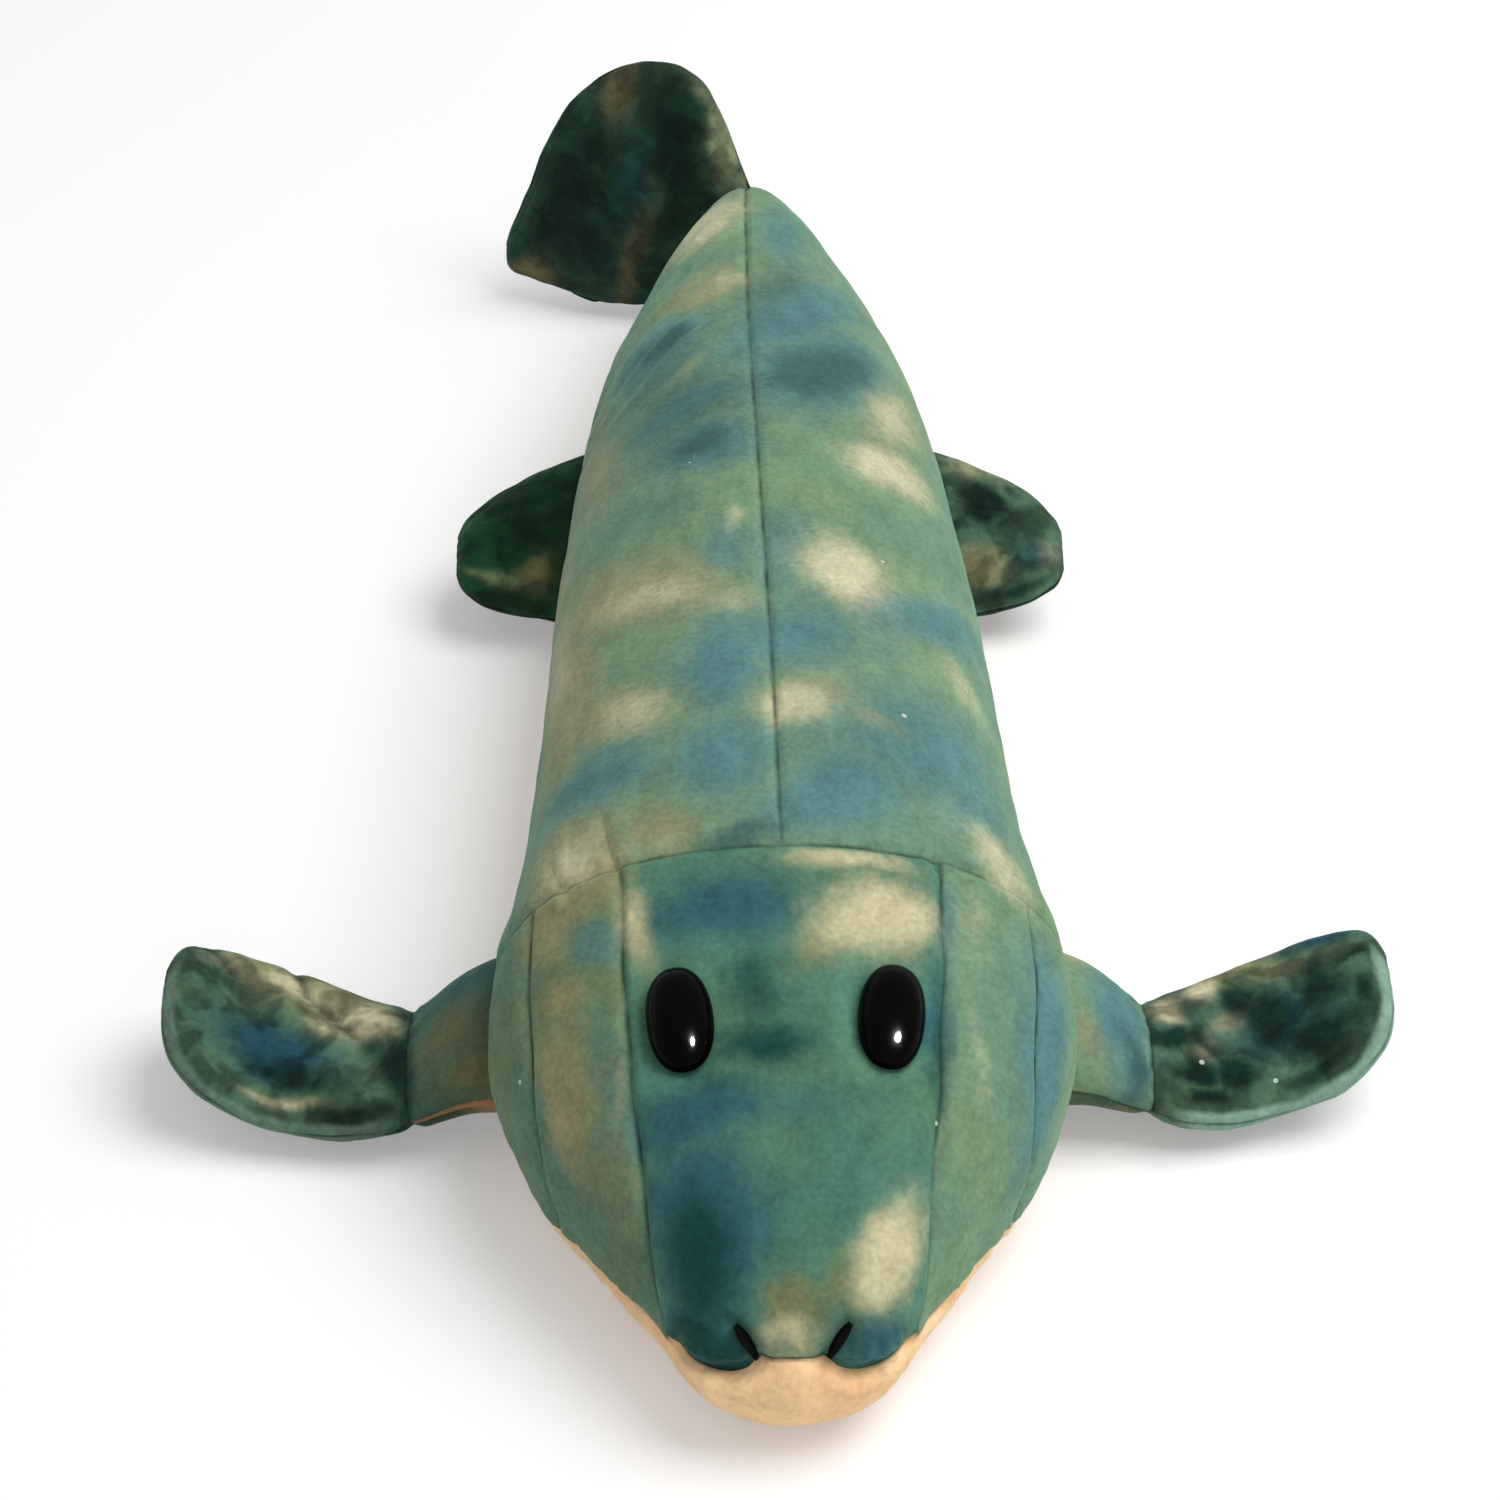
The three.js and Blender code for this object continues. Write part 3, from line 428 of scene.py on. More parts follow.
def stuff(piece, held, most):
    """Swell a piece with air while the held corners stay, and let no corner move further than most."""
    start = corners(piece)
    only(piece)
    group = piece.vertex_groups.new(name="held")
    group.add([int(i) for i in np.flatnonzero(held)], 1.0, "REPLACE")
    bpy.ops.object.modifier_add(type="CLOTH")
    cloth = piece.modifiers[-1]
    settings = cloth.settings
    settings.quality = 5
    settings.mass = 0.15
    settings.tension_stiffness = settings.compression_stiffness = 15
    settings.bending_stiffness = 0.4
    settings.use_pressure = True
    settings.uniform_pressure_force = AIR_PRESSURE
    settings.vertex_group_mass = "held"
    settings.effector_weights.gravity = 0
    cloth.collision_settings.use_collision = False
    cloth.point_cache.frame_start, cloth.point_cache.frame_end = 1, FILL_FRAMES
    for step in range(1, FILL_FRAMES + 1):
        bpy.context.scene.frame_set(step)
    bpy.ops.object.modifier_apply(modifier=cloth.name)
    bpy.context.scene.frame_set(1)
    piece.vertex_groups.clear()
    move = corners(piece) - start
    far = np.linalg.norm(move, axis=1)
    move *= (np.minimum(far, most) / np.maximum(far, 1e-9))[:, None]
    put_corners(piece, start + move)
    print(piece.name, "swelled by", round(float(far.max()) / MM, 2), "mm, kept to", most / MM)


def refine(piece, levels):
    only(piece)
    bpy.ops.object.modifier_add(type="SUBSURF")
    finer = piece.modifiers[-1]
    finer.levels = finer.render_levels = levels
    bpy.ops.object.modifier_apply(modifier=finer.name)


resting = corners(body_cloth)[:, 2] < 0.05 * MM
stuff(body_cloth, seam_corners(body_cloth) | resting, BODY_SWELL)
refine(body_cloth, 2)
print("fine body: corners", len(body_cloth.data.vertices))

# %% [markdown]
# ## Seams, dimples and lumps
# What a seam looks like is fine shape, so it comes after the swelling. Each corner learns how far
# it is from its nearest seam, and which two cloths meet there. Close to the seam the cloth dives
# in, and a little further out it gathers in small puckers that run square to the stitches.

# %% Shape the cloth near its seams
def spots(piece):
    values = np.empty(len(piece.data.vertices) * 3, np.float32)
    piece.data.attributes["spot"].data.foreach_get("vector", values)
    return values.reshape(-1, 3).astype(float)


def keep_number(piece, name, values):
    """Store one number for each corner, which a material can read."""
    number = piece.data.attributes.new(name, "FLOAT", "POINT")
    number.data.foreach_set("value", np.asarray(values, np.float32))


def outward(piece):
    normals = np.empty(len(piece.data.vertices) * 3)
    piece.data.vertices.foreach_get("normal", normals)
    return normals.reshape(-1, 3)


def form_outward(piece):
    """The outward directions of the body's form, which stay even where the columns crowd together."""
    at, place = np.clip(spots(piece)[:, 0], 0.4 * MM, BODY_LENGTH - 0.4 * MM), corners(piece)
    half, top, middle, under, power_over, power_under = (c(at) for c in body_curves)
    rise = place[:, 2] + FLOOR_FLAT - middle
    power = np.where(rise >= 0, power_over, power_under)
    reach = np.where(rise >= 0, top - middle, middle - under)
    up, side = (np.sign(v) * np.abs(v) ** (power / 2) for v in (rise / reach, place[:, 0] / half))
    angle = np.degrees(np.arctan2(up, side))
    back = body_point(at + 0.3 * MM, angle) - body_point(at - 0.3 * MM, angle)
    out = np.cross(back, body_point(at, angle + 1) - body_point(at, angle - 1))
    size = np.linalg.norm(out, axis=1)[:, None]
    return np.where(size > 1e-12, out / np.maximum(size, 1e-12), outward(piece))


def even_out(piece, places, radius):
    """Smooth the corners round a few places, where many columns meet in a point."""
    place = corners(piece)
    near = np.min([np.linalg.norm(place - np.array(p), axis=1) for p in places], axis=0) < radius
    only(piece)
    for part in (piece.data.vertices, piece.data.edges, piece.data.polygons):
        part.foreach_set("select", np.zeros(len(part), bool))
    piece.data.vertices.foreach_set("select", near)
    bpy.ops.object.mode_set(mode="EDIT")
    bpy.ops.mesh.vertices_smooth(factor=0.5, repeat=25)
    bpy.ops.object.mode_set(mode="OBJECT")
    print("evened corners", int(near.sum()))


def rough(points, size, seed=0.0):
    """Soft noise from -1 to 1 at each point, with lumps of about this size."""
    shift = Vector((seed * 7.3, seed * 3.1, seed * 5.7))
    return np.array([noise.noise(Vector(p) / size + shift) for p in points])


def nearest_seam(piece, wanted=frozenset(range(9))):
    """For each corner: the distance to the nearest seam, the point there, and the two cloths it joins."""
    cloth_beside, joined = {}, {}
    for face in piece.data.polygons:
        for edge in face.edge_keys:
            other = cloth_beside.setdefault(edge, face.material_index)
            if other != face.material_index:
                for corner in edge:
                    joined.setdefault(corner, set()).update((other, face.material_index))
    place = corners(piece)
    joined = {corner: pair for corner, pair in joined.items() if pair & wanted}
    tree = KDTree(len(joined))
    for corner in joined:
        tree.insert(place[corner], corner)
    tree.balance()
    found = [tree.find(p) for p in place]
    distance = np.array([f[2] for f in found])
    at_seam = np.array([f[0] for f in found])
    pair = [frozenset(joined[f[1]]) for f in found]
    return distance, at_seam, pair


def press_seams(piece, styles, usual, calm, out=None):
    """Move the cloth in along its seams, less where calm is under 1. Gives the distances to them."""
    distance, at_seam, pair = nearest_seam(piece)
    depth, width, pucker, wave = (
        np.array([styles.get(p, usual)[i] for p in pair]) for i in range(4)
    )
    valley = depth * bell(distance / width) + 0.35 * depth * np.exp(-distance / (4 * width))
    gather = np.array([noise.noise(Vector(p) / w) for p, w in zip(at_seam, wave)])
    reach = np.exp(-distance / (3.2 * wave)) * (1 - bell(distance / (0.8 * width)))
    move = (gather * pucker * reach - valley) * calm(pair)
    place = corners(piece) + (outward(piece) if out is None else out) * move[:, None]
    place[:, 2] = np.maximum(place[:, 2], 0)
    put_corners(piece, place)
    # The distance is kept for the pile group, which paints shade in the seam and a highlight beside it.
    keep_number(piece, "seam", distance / MM)
    return distance


# Each style: depth, width, pucker size, pucker length.
NECK_STYLE = (0.9 * MM, 1.3 * MM, 0.5 * MM, 3 * MM)
MOUTH_STYLE = (1.2 * MM, 1.3 * MM, 0.9 * MM, 1.5 * MM)
SPINE_STYLE = (0.8 * MM, 0.9 * MM, 0.3 * MM, 3 * MM)
SEAM_STYLE = (0.9 * MM, 1.0 * MM, 0.3 * MM, 3 * MM)
body_seams = {frozenset((upper, CHIN_ID)): MOUTH_STYLE for upper in (CROWN_ID, CHEEK_L, CHEEK_R)}
body_seams[frozenset((BACK_L, BACK_R))] = SPINE_STYLE
for upper in (CROWN_ID, CHEEK_L, GILL_L, CHEEK_R, GILL_R):
    for lower in (BACK_L, BACK_R):
        body_seams[frozenset((upper, lower))] = NECK_STYLE
print("seams with a style", len(body_seams))

# %% [markdown]
# The mouth is a seam too. It arches up between the nostrils, hangs a little beside them, and drops
# along the cheeks, so the cloth beside it moves up or down before the seam is pressed in.

# %% The line of the mouth, and the body's seams
LIP = np.array([0, LIP_Y, net_points[0, 0, 2]])
ARCH_HEIGHT, ARCH_WIDTH, HANG, HANG_AT, HANG_WIDTH = 2.0 * MM, 5.5 * MM, 0.5 * MM, 11 * MM, 4 * MM
CHEEK_DROP, BESIDE_MOUTH = 3.4 * MM, 6 * MM
CHEEK_TIP, TIP_REACH = 9 * MM, 3.5 * MM  # where the cheek panels run out to a point beside the mouth


def calm_corners(pair):
    """Little gathering at the lip, where the net's rows meet, and where the cheek panels start."""
    mouth = np.array([p == frozenset((CROWN_ID, CHIN_ID)) for p in pair])
    return lip_calm * np.where(mouth, 1, 0.1 + 0.9 * smooth((along - CHEEK_TIP) / (12 * MM)))


along, across_crown = spots(body_cloth)[:, :2].T
even_out(body_cloth, [body_point(np.array(CHEEK_TIP), np.array(angle)) for angle in (-5, 185)], TIP_REACH)
from_mouth = nearest_seam(body_cloth, {CHIN_ID})[0]
place = corners(body_cloth)
front = 1 - smooth((along - 6 * MM) / (8 * MM))
lift = front * ARCH_HEIGHT * bell(place[:, 0] / ARCH_WIDTH)
lift -= front * HANG * bell((np.abs(place[:, 0]) - HANG_AT) / HANG_WIDTH)
lift -= CHEEK_DROP * smooth((along - 10 * MM) / (12 * MM)) * (1 - smooth((along - 50 * MM) / (24 * MM)))
place[:, 2] += lift * bell(from_mouth / BESIDE_MOUTH)
put_corners(body_cloth, place)
lip_calm = smooth((np.linalg.norm(place - LIP, axis=1) - 1 * MM) / (5 * MM))
body_out = form_outward(body_cloth)
seam_distance = press_seams(body_cloth, body_seams, SEAM_STYLE, calm_corners, body_out)
print("corners within 2 mm of a seam", int((seam_distance < 2 * MM).sum()))

# %% [markdown]
# Short darts behind the neck take up spare cloth, and show as thin creases with the seams' painted shade in
# them.

# %% Darts behind the neck
DARTS = [  # from and to: mm behind the lip, mm over the cloth from the crown line
    ((95, -33), (81, -30)), ((89, -44), (79, -40)), ((86, 28), (79, 28)),
]
DART_DEPTH, DART_SWELL = 0.45 * MM, 0.2 * MM


def distance_to_line(flat, start, end):
    start, end = np.array(start, float), np.array(end, float)
    share = np.clip((flat - start) @ (end - start) / ((end - start) @ (end - start)), 0, 1)
    return np.linalg.norm(flat - start - share[:, None] * (end - start), axis=1)


flat = spots(body_cloth)[:, :2] / MM
dart_distance = np.min([distance_to_line(flat, *dart) for dart in DARTS], axis=0)
pinch = DART_DEPTH * bell(dart_distance / 0.9) - DART_SWELL * bell((dart_distance - 2.5) / 1.2)
put_corners(body_cloth, corners(body_cloth) - body_out * pinch[:, None])
# The darts count as seams here, so the pile group paints shade along them too.
seam_number = np.minimum(seam_distance / MM, dart_distance + 0.25)
body_cloth.data.attributes["seam"].data.foreach_set("value", seam_number.astype(np.float32))
print("darts", len(DARTS))

# %% [markdown]
# The eyes are held by posts that pull the cloth in round them, and the nostrils are stitched down
# hard, so the snout swells in a lobe beside each. Loose filling leaves shallow lumps everywhere, and
# the slack skin over the rear of the trunk lies in soft slanting folds on the toy's right.

# %% Seats of the eyes and nostrils
def seat(at, angle):
    """The point on the form and the directions across, along and out of it."""

    def near(more=0.0, turn=0.0):
        return body_point(np.array(at + more), np.array(angle + turn))

    step = 0.8 * MM
    back = Vector(near(step) - near(-step)).normalized()
    round_ = Vector(near(turn=1.0) - near(turn=-1.0)).normalized()
    out = back.cross(round_).normalized()
    return Vector(near()), back.cross(out).normalized(), back, out


EYE_WIDTH, EYE_LENGTH, EYE_DOME, EYE_SQUARENESS = 11.4 * MM, 19.2 * MM, 5 * MM, 2.25
EYE_AT, EYE_OFF_DEGREES = 0.6 * HEAD_LENGTH, 19
NOSTRIL_AT, NOSTRIL_OFF_DEGREES, NOSTRIL_LEAN_DEGREES = 0.018 * HEAD_LENGTH, 42, 22


def leaning(seat_, degrees):
    """The same seat, turned about its own outward direction."""
    here, across, back, out = seat_
    turned = Matrix.Rotation(math.radians(degrees), 3, out)
    return here, turned @ across, turned @ back, out


eye_seats, nostril_seats = {}, {}
for side, turn in zip(SIDES, (-1, 1)):
    eye_seats[side] = seat(EYE_AT, 90 + turn * EYE_OFF_DEGREES)
    nostril = seat(NOSTRIL_AT, 90 + turn * NOSTRIL_OFF_DEGREES)
    nostril_seats[side] = leaning(nostril, -turn * NOSTRIL_LEAN_DEGREES)
print("eyes", [round(v / MM, 1) for v in eye_seats["left"][0]], "and as far to the right")


# %% Eye dimples, nostril grooves, lumps and folds
BIG_LUMP, BIG_LUMP_SIZE, SMALL_LUMP, SMALL_LUMP_SIZE = 0.55 * MM, 26 * MM, 0.22 * MM, 9 * MM
DIMPLE, DIMPLE_RING, GROOVE, GROOVE_WIDTH = 1.1 * MM, 0.45 * MM, 1.6 * MM, 1.6 * MM
LOBE, LOBE_OFF, LOBE_AT, LOBE_FLOOR = 1.5 * MM, 14 * MM, 2 * MM, 17.2 * MM
FOLD_SPACING, FOLD_HEIGHT, FOLD_STRAY = 12.7 * MM, 0.42 * MM, 7 * MM
FOLDS_FROM, FOLDS_TO, FOLDS_FADE = 222 * MM, 315 * MM, 30 * MM


def local(points, seat_):
    """Points measured across, along and out from a seat."""
    here, across, back, out = seat_
    from_here = points - np.array(here)
    return tuple(from_here @ np.array(axis) for axis in (across, back, out))


place = corners(body_cloth)
move = BIG_LUMP * rough(place, BIG_LUMP_SIZE) + SMALL_LUMP * rough(place, SMALL_LUMP_SIZE, 3)
for side in SIDES:
    across, back, out = local(place, eye_seats[side])
    ring = np.sqrt((across / (EYE_WIDTH / 2)) ** 2 + (back / (EYE_LENGTH / 2)) ** 2)
    near = np.abs(out) < 12 * MM
    move -= near * DIMPLE * bell(np.maximum(ring - 0.9, 0) / 0.45)
    move += near * DIMPLE_RING * bell((ring - 1.75) / 0.4)
    across, back, out = local(place, nostril_seats[side])
    slit = np.hypot(across, np.maximum(np.abs(back) - 3 * MM, 0))
    move -= (np.abs(out) < 8 * MM) * GROOVE * bell(slit / GROOVE_WIDTH)
slant = along - across_crown + FOLD_STRAY * rough(place, 26 * MM, 5)
slack = smooth((along - FOLDS_FROM) / FOLDS_FADE) * (1 - smooth((along - FOLDS_TO) / FOLDS_FADE))
slack *= smooth((4 * MM - across_crown) / (12 * MM)) * smooth((place[:, 2] - 16 * MM) / (14 * MM))
move += FOLD_HEIGHT * slack * np.sin(2 * math.pi * slant / FOLD_SPACING)
lobe = np.hypot((np.abs(place[:, 0]) - LOBE_OFF) / (5.5 * MM), (along - LOBE_AT) / (6 * MM))
move += (place[:, 2] > LOBE_FLOOR) * LOBE * bell(lobe)
place += body_out * (move * lip_calm)[:, None]
place[:, 2] = np.maximum(place[:, 2], 0)
put_corners(body_cloth, place)
print("shaped body, lowest", place[:, 2].min(), "highest", round(place[:, 2].max() / MM, 1))

# %% [markdown]
# ## Fins
# A fin is two panels sewn round their rim and filled like the body. Its own table gives its section
# from the root to the tip, as shares of its span and of its chord. The front fins change cloth at
# the wrist, where they crease.

# %% Fin tables
FIN_SIZES = {  # span and chord
    "front": (64 * MM, 40 * MM), "hind": (30 * MM, 45 * MM), "tail": (61 * MM, 64 * MM),
}
FIN_SHARES = {  # span, lift, sweep, chord, thickness, pitch in degrees
    "front": [
        (-0.17, 0, -0.01, 0.92, 0.55, 0), (0, 0, -0.01, 0.92, 0.54, 0), (0.13, -0.03, -0.05, 0.82, 0.46, 1),
        (0.22, -0.09, -0.1, 0.72, 0.38, 2), (0.29, -0.12, -0.12, 0.7, 0.33, 3),
        (0.37, -0.14, -0.11, 0.78, 0.3, 5), (0.52, -0.145, -0.05, 0.89, 0.28, 8),
        (0.69, -0.11, 0.02, 0.94, 0.26, 10), (0.84, -0.01, 0.06, 0.89, 0.24, 12),
        (0.93, 0.09, 0.07, 0.73, 0.21, 14), (0.98, 0.155, 0.07, 0.53, 0.15, 14),
        (0.993, 0.172, 0.07, 0.38, 0.09, 14), (1, 0.18, 0.07, 0.16, 0, 14),
    ],
    "hind": [
        (-0.3, 0, 0, 1.0, 0.28, 22), (0, 0, 0, 1.03, 0.28, 22), (0.28, 0, -0.03, 0.93, 0.26, 22),
        (0.56, 0.01, -0.085, 0.79, 0.23, 22), (0.8, 0.02, -0.14, 0.6, 0.2, 22),
        (0.91, 0.03, -0.17, 0.46, 0.17, 22), (0.97, 0.035, -0.185, 0.33, 0.11, 22),
        (1, 0.035, -0.19, 0.16, 0, 22),
    ],
    "tail": [
        (-0.02, 0, 0.38, 0.24, 0.05, 0), (0.03, 0, 0.435, 0.39, 0.08, 0),
        (0.08, -0.005, 0.4875, 0.575, 0.11, 2), (0.17, -0.02, 0.54, 0.81, 0.14, 5),
        (0.28, -0.045, 0.545, 0.94, 0.16, 10),
        (0.41, -0.07, 0.535, 0.98, 0.165, 13), (0.55, -0.07, 0.505, 0.94, 0.16, 13),
        (0.69, -0.055, 0.4675, 0.815, 0.15, 11), (0.77, -0.045, 0.415, 0.69, 0.145, 9),
        (0.82, -0.04, 0.36, 0.57, 0.14, 8), (0.88, -0.03, 0.285, 0.4, 0.13, 6.5),
        (0.94, -0.025, 0.225, 0.26, 0.11, 5), (0.985, -0.02, 0.185, 0.15, 0.07, 4),
        (1, -0.02, 0.175, 0.06, 0, 4),
    ],
}
WRIST_SHARE = 0.29
FIN_POWER = 2.2
SHOULDER_BACK, HIP_BACK, ROOT_HEIGHT = 4 * MM, 161 * MM, 15 * MM  # behind the neck seam, over the floor
STEM_GAP, TAIL_BEND = 0.6 * MM, math.radians(84)


def fin_form(kind, root, out, rear):
    """Functions for a fin's points and middle line: along is a share of its span, angle is round it."""
    span, chord = FIN_SIZES[kind]
    shares = np.array(FIN_SHARES[kind])
    lift, sweep, wide, thick, pitch = (curve_through(shares[:, 0], shares[:, i]) for i in range(1, 6))
    root, out, rear = (np.array(v, float) for v in (root, out, rear))
    up = np.cross(out, rear)

    def centre(along):
        along = np.asarray(along)[..., None]
        return root + out * along * span + rear * sweep(along) * chord + up * lift(along) * chord

    def point(along, angle, inset=0.0):
        turn = np.radians(angle)
        heading = centre(np.minimum(along + 0.01, 1)) - centre(np.minimum(along, 1) - 0.01)
        tilt = np.radians(pitch(along))[..., None]
        level = rear * np.cos(tilt) + up * np.sin(tilt)
        proud = np.cross(heading, level)
        proud /= np.linalg.norm(proud, axis=-1)[..., None]
        half_chord = np.maximum(wide(along) * chord / 2 - inset, 0)
        half_thick = np.maximum(thick(along) * chord / 2 - inset, 0)
        return (
            centre(along)
            + level * (half_chord * bent(np.cos(turn), FIN_POWER))[..., None]
            + proud * (half_thick * bent(np.sin(turn), FIN_POWER))[..., None]
        )

    return point, centre


def side_point(at, tall):
    """The place on the toy's left side at a height over the floor."""
    angles = np.linspace(-89, 0, 20000)
    points = body_point(np.full(len(angles), at), angles)
    return points[np.searchsorted(points[:, 2], tall)]


shoulder = side_point(HEAD_LENGTH + SHOULDER_BACK, ROOT_HEIGHT)
hip = side_point(HEAD_LENGTH + HIP_BACK, ROOT_HEIGHT)
tail_hinge = np.array([0, LIP_Y + BODY_LENGTH + STEM_GAP, 0])
tail_out = np.array([-math.sin(TAIL_BEND), math.cos(TAIL_BEND), 0])
front_point, front_centre = fin_form("front", shoulder, (1, 0, 0), (0, 1, 0))
hind_point, _ = fin_form("hind", hip, (1, 0, 0), (0, 1, 0))
tail_point, _ = fin_form("tail", tail_hinge, tail_out, (0, 0, 1))
wrist = front_centre(WRIST_SHARE)
print("shoulder", shoulder.round(4), "wrist", wrist.round(4), "hip", hip.round(4))


# %% Sew a fin
def make_fin(name, point, places, cloths, cut_rows=(), mirrored=False, columns=12):
    """Two panels round a fin's form, with another pair of cloths after each cut row."""
    angles = np.concatenate([180 * spread(columns, 0.45), 180 + 180 * spread(columns, 0.45)[1:]])
    along = np.repeat(places[:, None], len(angles), 1)
    around = np.repeat(angles[None], len(places), 0)
    net = point(along, around, FIN_INSET)
    spot = np.stack([along, np.cos(np.radians(around)), np.sin(np.radians(around))], -1)
    if mirrored:
        net = net * np.array([-1, 1, 1])
    ends = [0, *cut_rows, len(places) - 1]
    panels = []
    for k, rows in enumerate(zip(ends, ends[1:])):
        for part, span_columns in enumerate(((0, columns), (columns, 2 * columns))):
            panels.append(lay_panel(net, spot, rows, span_columns, lambda row, column, i=2 * k + part: i))
    fin = sew(name, panels, cloths)
    root = spots(fin)[:, 0] <= places[1] + 1e-6
    stuff(fin, seam_corners(fin) | root, FIN_SWELL)
    refine(fin, 2)
    return fin


def keep_fin(fin, seed, folds=None):
    """Press the fin's seams, with little gathering at the tip, where its net's rows are short."""
    press_seams(fin, folds or {}, FIN_RIM, lambda pair: 1 - 0.85 * smooth((spots(fin)[:, 0] - 0.86) / 0.1))
    fins[fin.name] = (fin, seed)


FIN_INSET = 0.5 * MM
FIN_RIM = (0.45 * MM, 0.9 * MM, 0.15 * MM, 3.5 * MM)
WRIST_FOLD = (0.7 * MM, 1.3 * MM, 0.5 * MM, 3 * MM)
ARM_ROWS, BLADE_ROWS = 9, 17
arm_places = -0.17 + (WRIST_SHARE + 0.17) * spread(ARM_ROWS, 0.2)
blade_places = WRIST_SHARE + (1 - WRIST_SHARE) * spread(BLADE_ROWS, 0.35)
front_places = np.concatenate([arm_places, blade_places[1:]])
hind_places = -0.3 + 1.3 * spread(14, 0.35)
tail_places = -0.02 + 1.02 * spread(22, 0.35)
wrist_folds = {frozenset(p): WRIST_FOLD for p in ((0, 2), (1, 3), (0, 3), (1, 2), (0, 1, 2, 3))}
fins = {}  # each fin, and a number that starts its noise
for side, seed in zip(SIDES, (1, 2)):
    mirrored = side == "right"
    cloths = [f"{part}_{side}_cloth" for part in ("arm_top", "arm_under", "blade_top", "blade_under")]
    fin = make_fin(f"front_fin_{side}", front_point, front_places, cloths, [ARM_ROWS], mirrored)
    keep_fin(fin, seed, wrist_folds)
    cloths = [f"hind_fin_{part}_{side}_cloth" for part in ("top", "under")]
    keep_fin(make_fin(f"hind_fin_{side}", hind_point, hind_places, cloths, mirrored=mirrored), seed + 2)
cloths = [f"tail_fin_cloth_{side}" for side in SIDES]
keep_fin(make_fin("tail_fin", tail_point, tail_places, cloths, columns=14), 7)
print("fins", {name: len(fin.data.vertices) for name, (fin, _) in fins.items()})

# %% [markdown]
# A filled fin is never even. Its skin ripples, more along the span than across, and a few creases
# run in from the rim.

# %% Ripples and creases
FIN_CREASES = {  # from and to: share of the span, and -1 at the front edge to 1 at the rear edge
    "front_fin_right": [((0.9, 0.95), (0.83, 0.55)), ((0.65, 0.95), (0.61, 0.6)), ((0.61, 0.6), (0.4, 0.05))],
    "front_fin_left": [((0.95, 0.6), (0.8, 0.1)), ((0.55, 0.8), (0.62, 0.3)), ((0.42, 0.1), (0.5, -0.3))],
}
RIPPLE, SMALL_RIPPLE, CREASE, CREASE_WIDTH = 0.6 * MM, 0.35 * MM, 0.7 * MM, 0.02
crease_distance = {}
for name, (fin, seed) in fins.items():
    place, spot = corners(fin), spots(fin)
    stretched = np.stack([spot[:, 0] * 2.2, spot[:, 1] * 2.6, np.sign(spot[:, 2]) * 4], -1)
    ripple = RIPPLE * rough(stretched, 0.5, seed) + SMALL_RIPPLE * rough(place, 7 * MM, seed)
    ripple *= smooth((spot[:, 0] - 0.02) / 0.2) * (1 - 0.8 * smooth((spot[:, 0] - 0.88) / 0.1))
    flat = spot[:, :2] * (1, 0.3)  # so that both directions are in shares of the span
    lines = [[(a, 0.3 * b) for a, b in crease] for crease in FIN_CREASES.get(name, [])]
    away = np.min([distance_to_line(flat, *line) for line in lines], axis=0) if lines else np.ones(len(flat))
    crease_distance[name] = away
    ripple -= (spot[:, 2] > 0) * CREASE * bell(away / CREASE_WIDTH)
    put_corners(fin, place + outward(fin) * ripple[:, None])
print("creases", {name: len(creases) for name, creases in FIN_CREASES.items()})
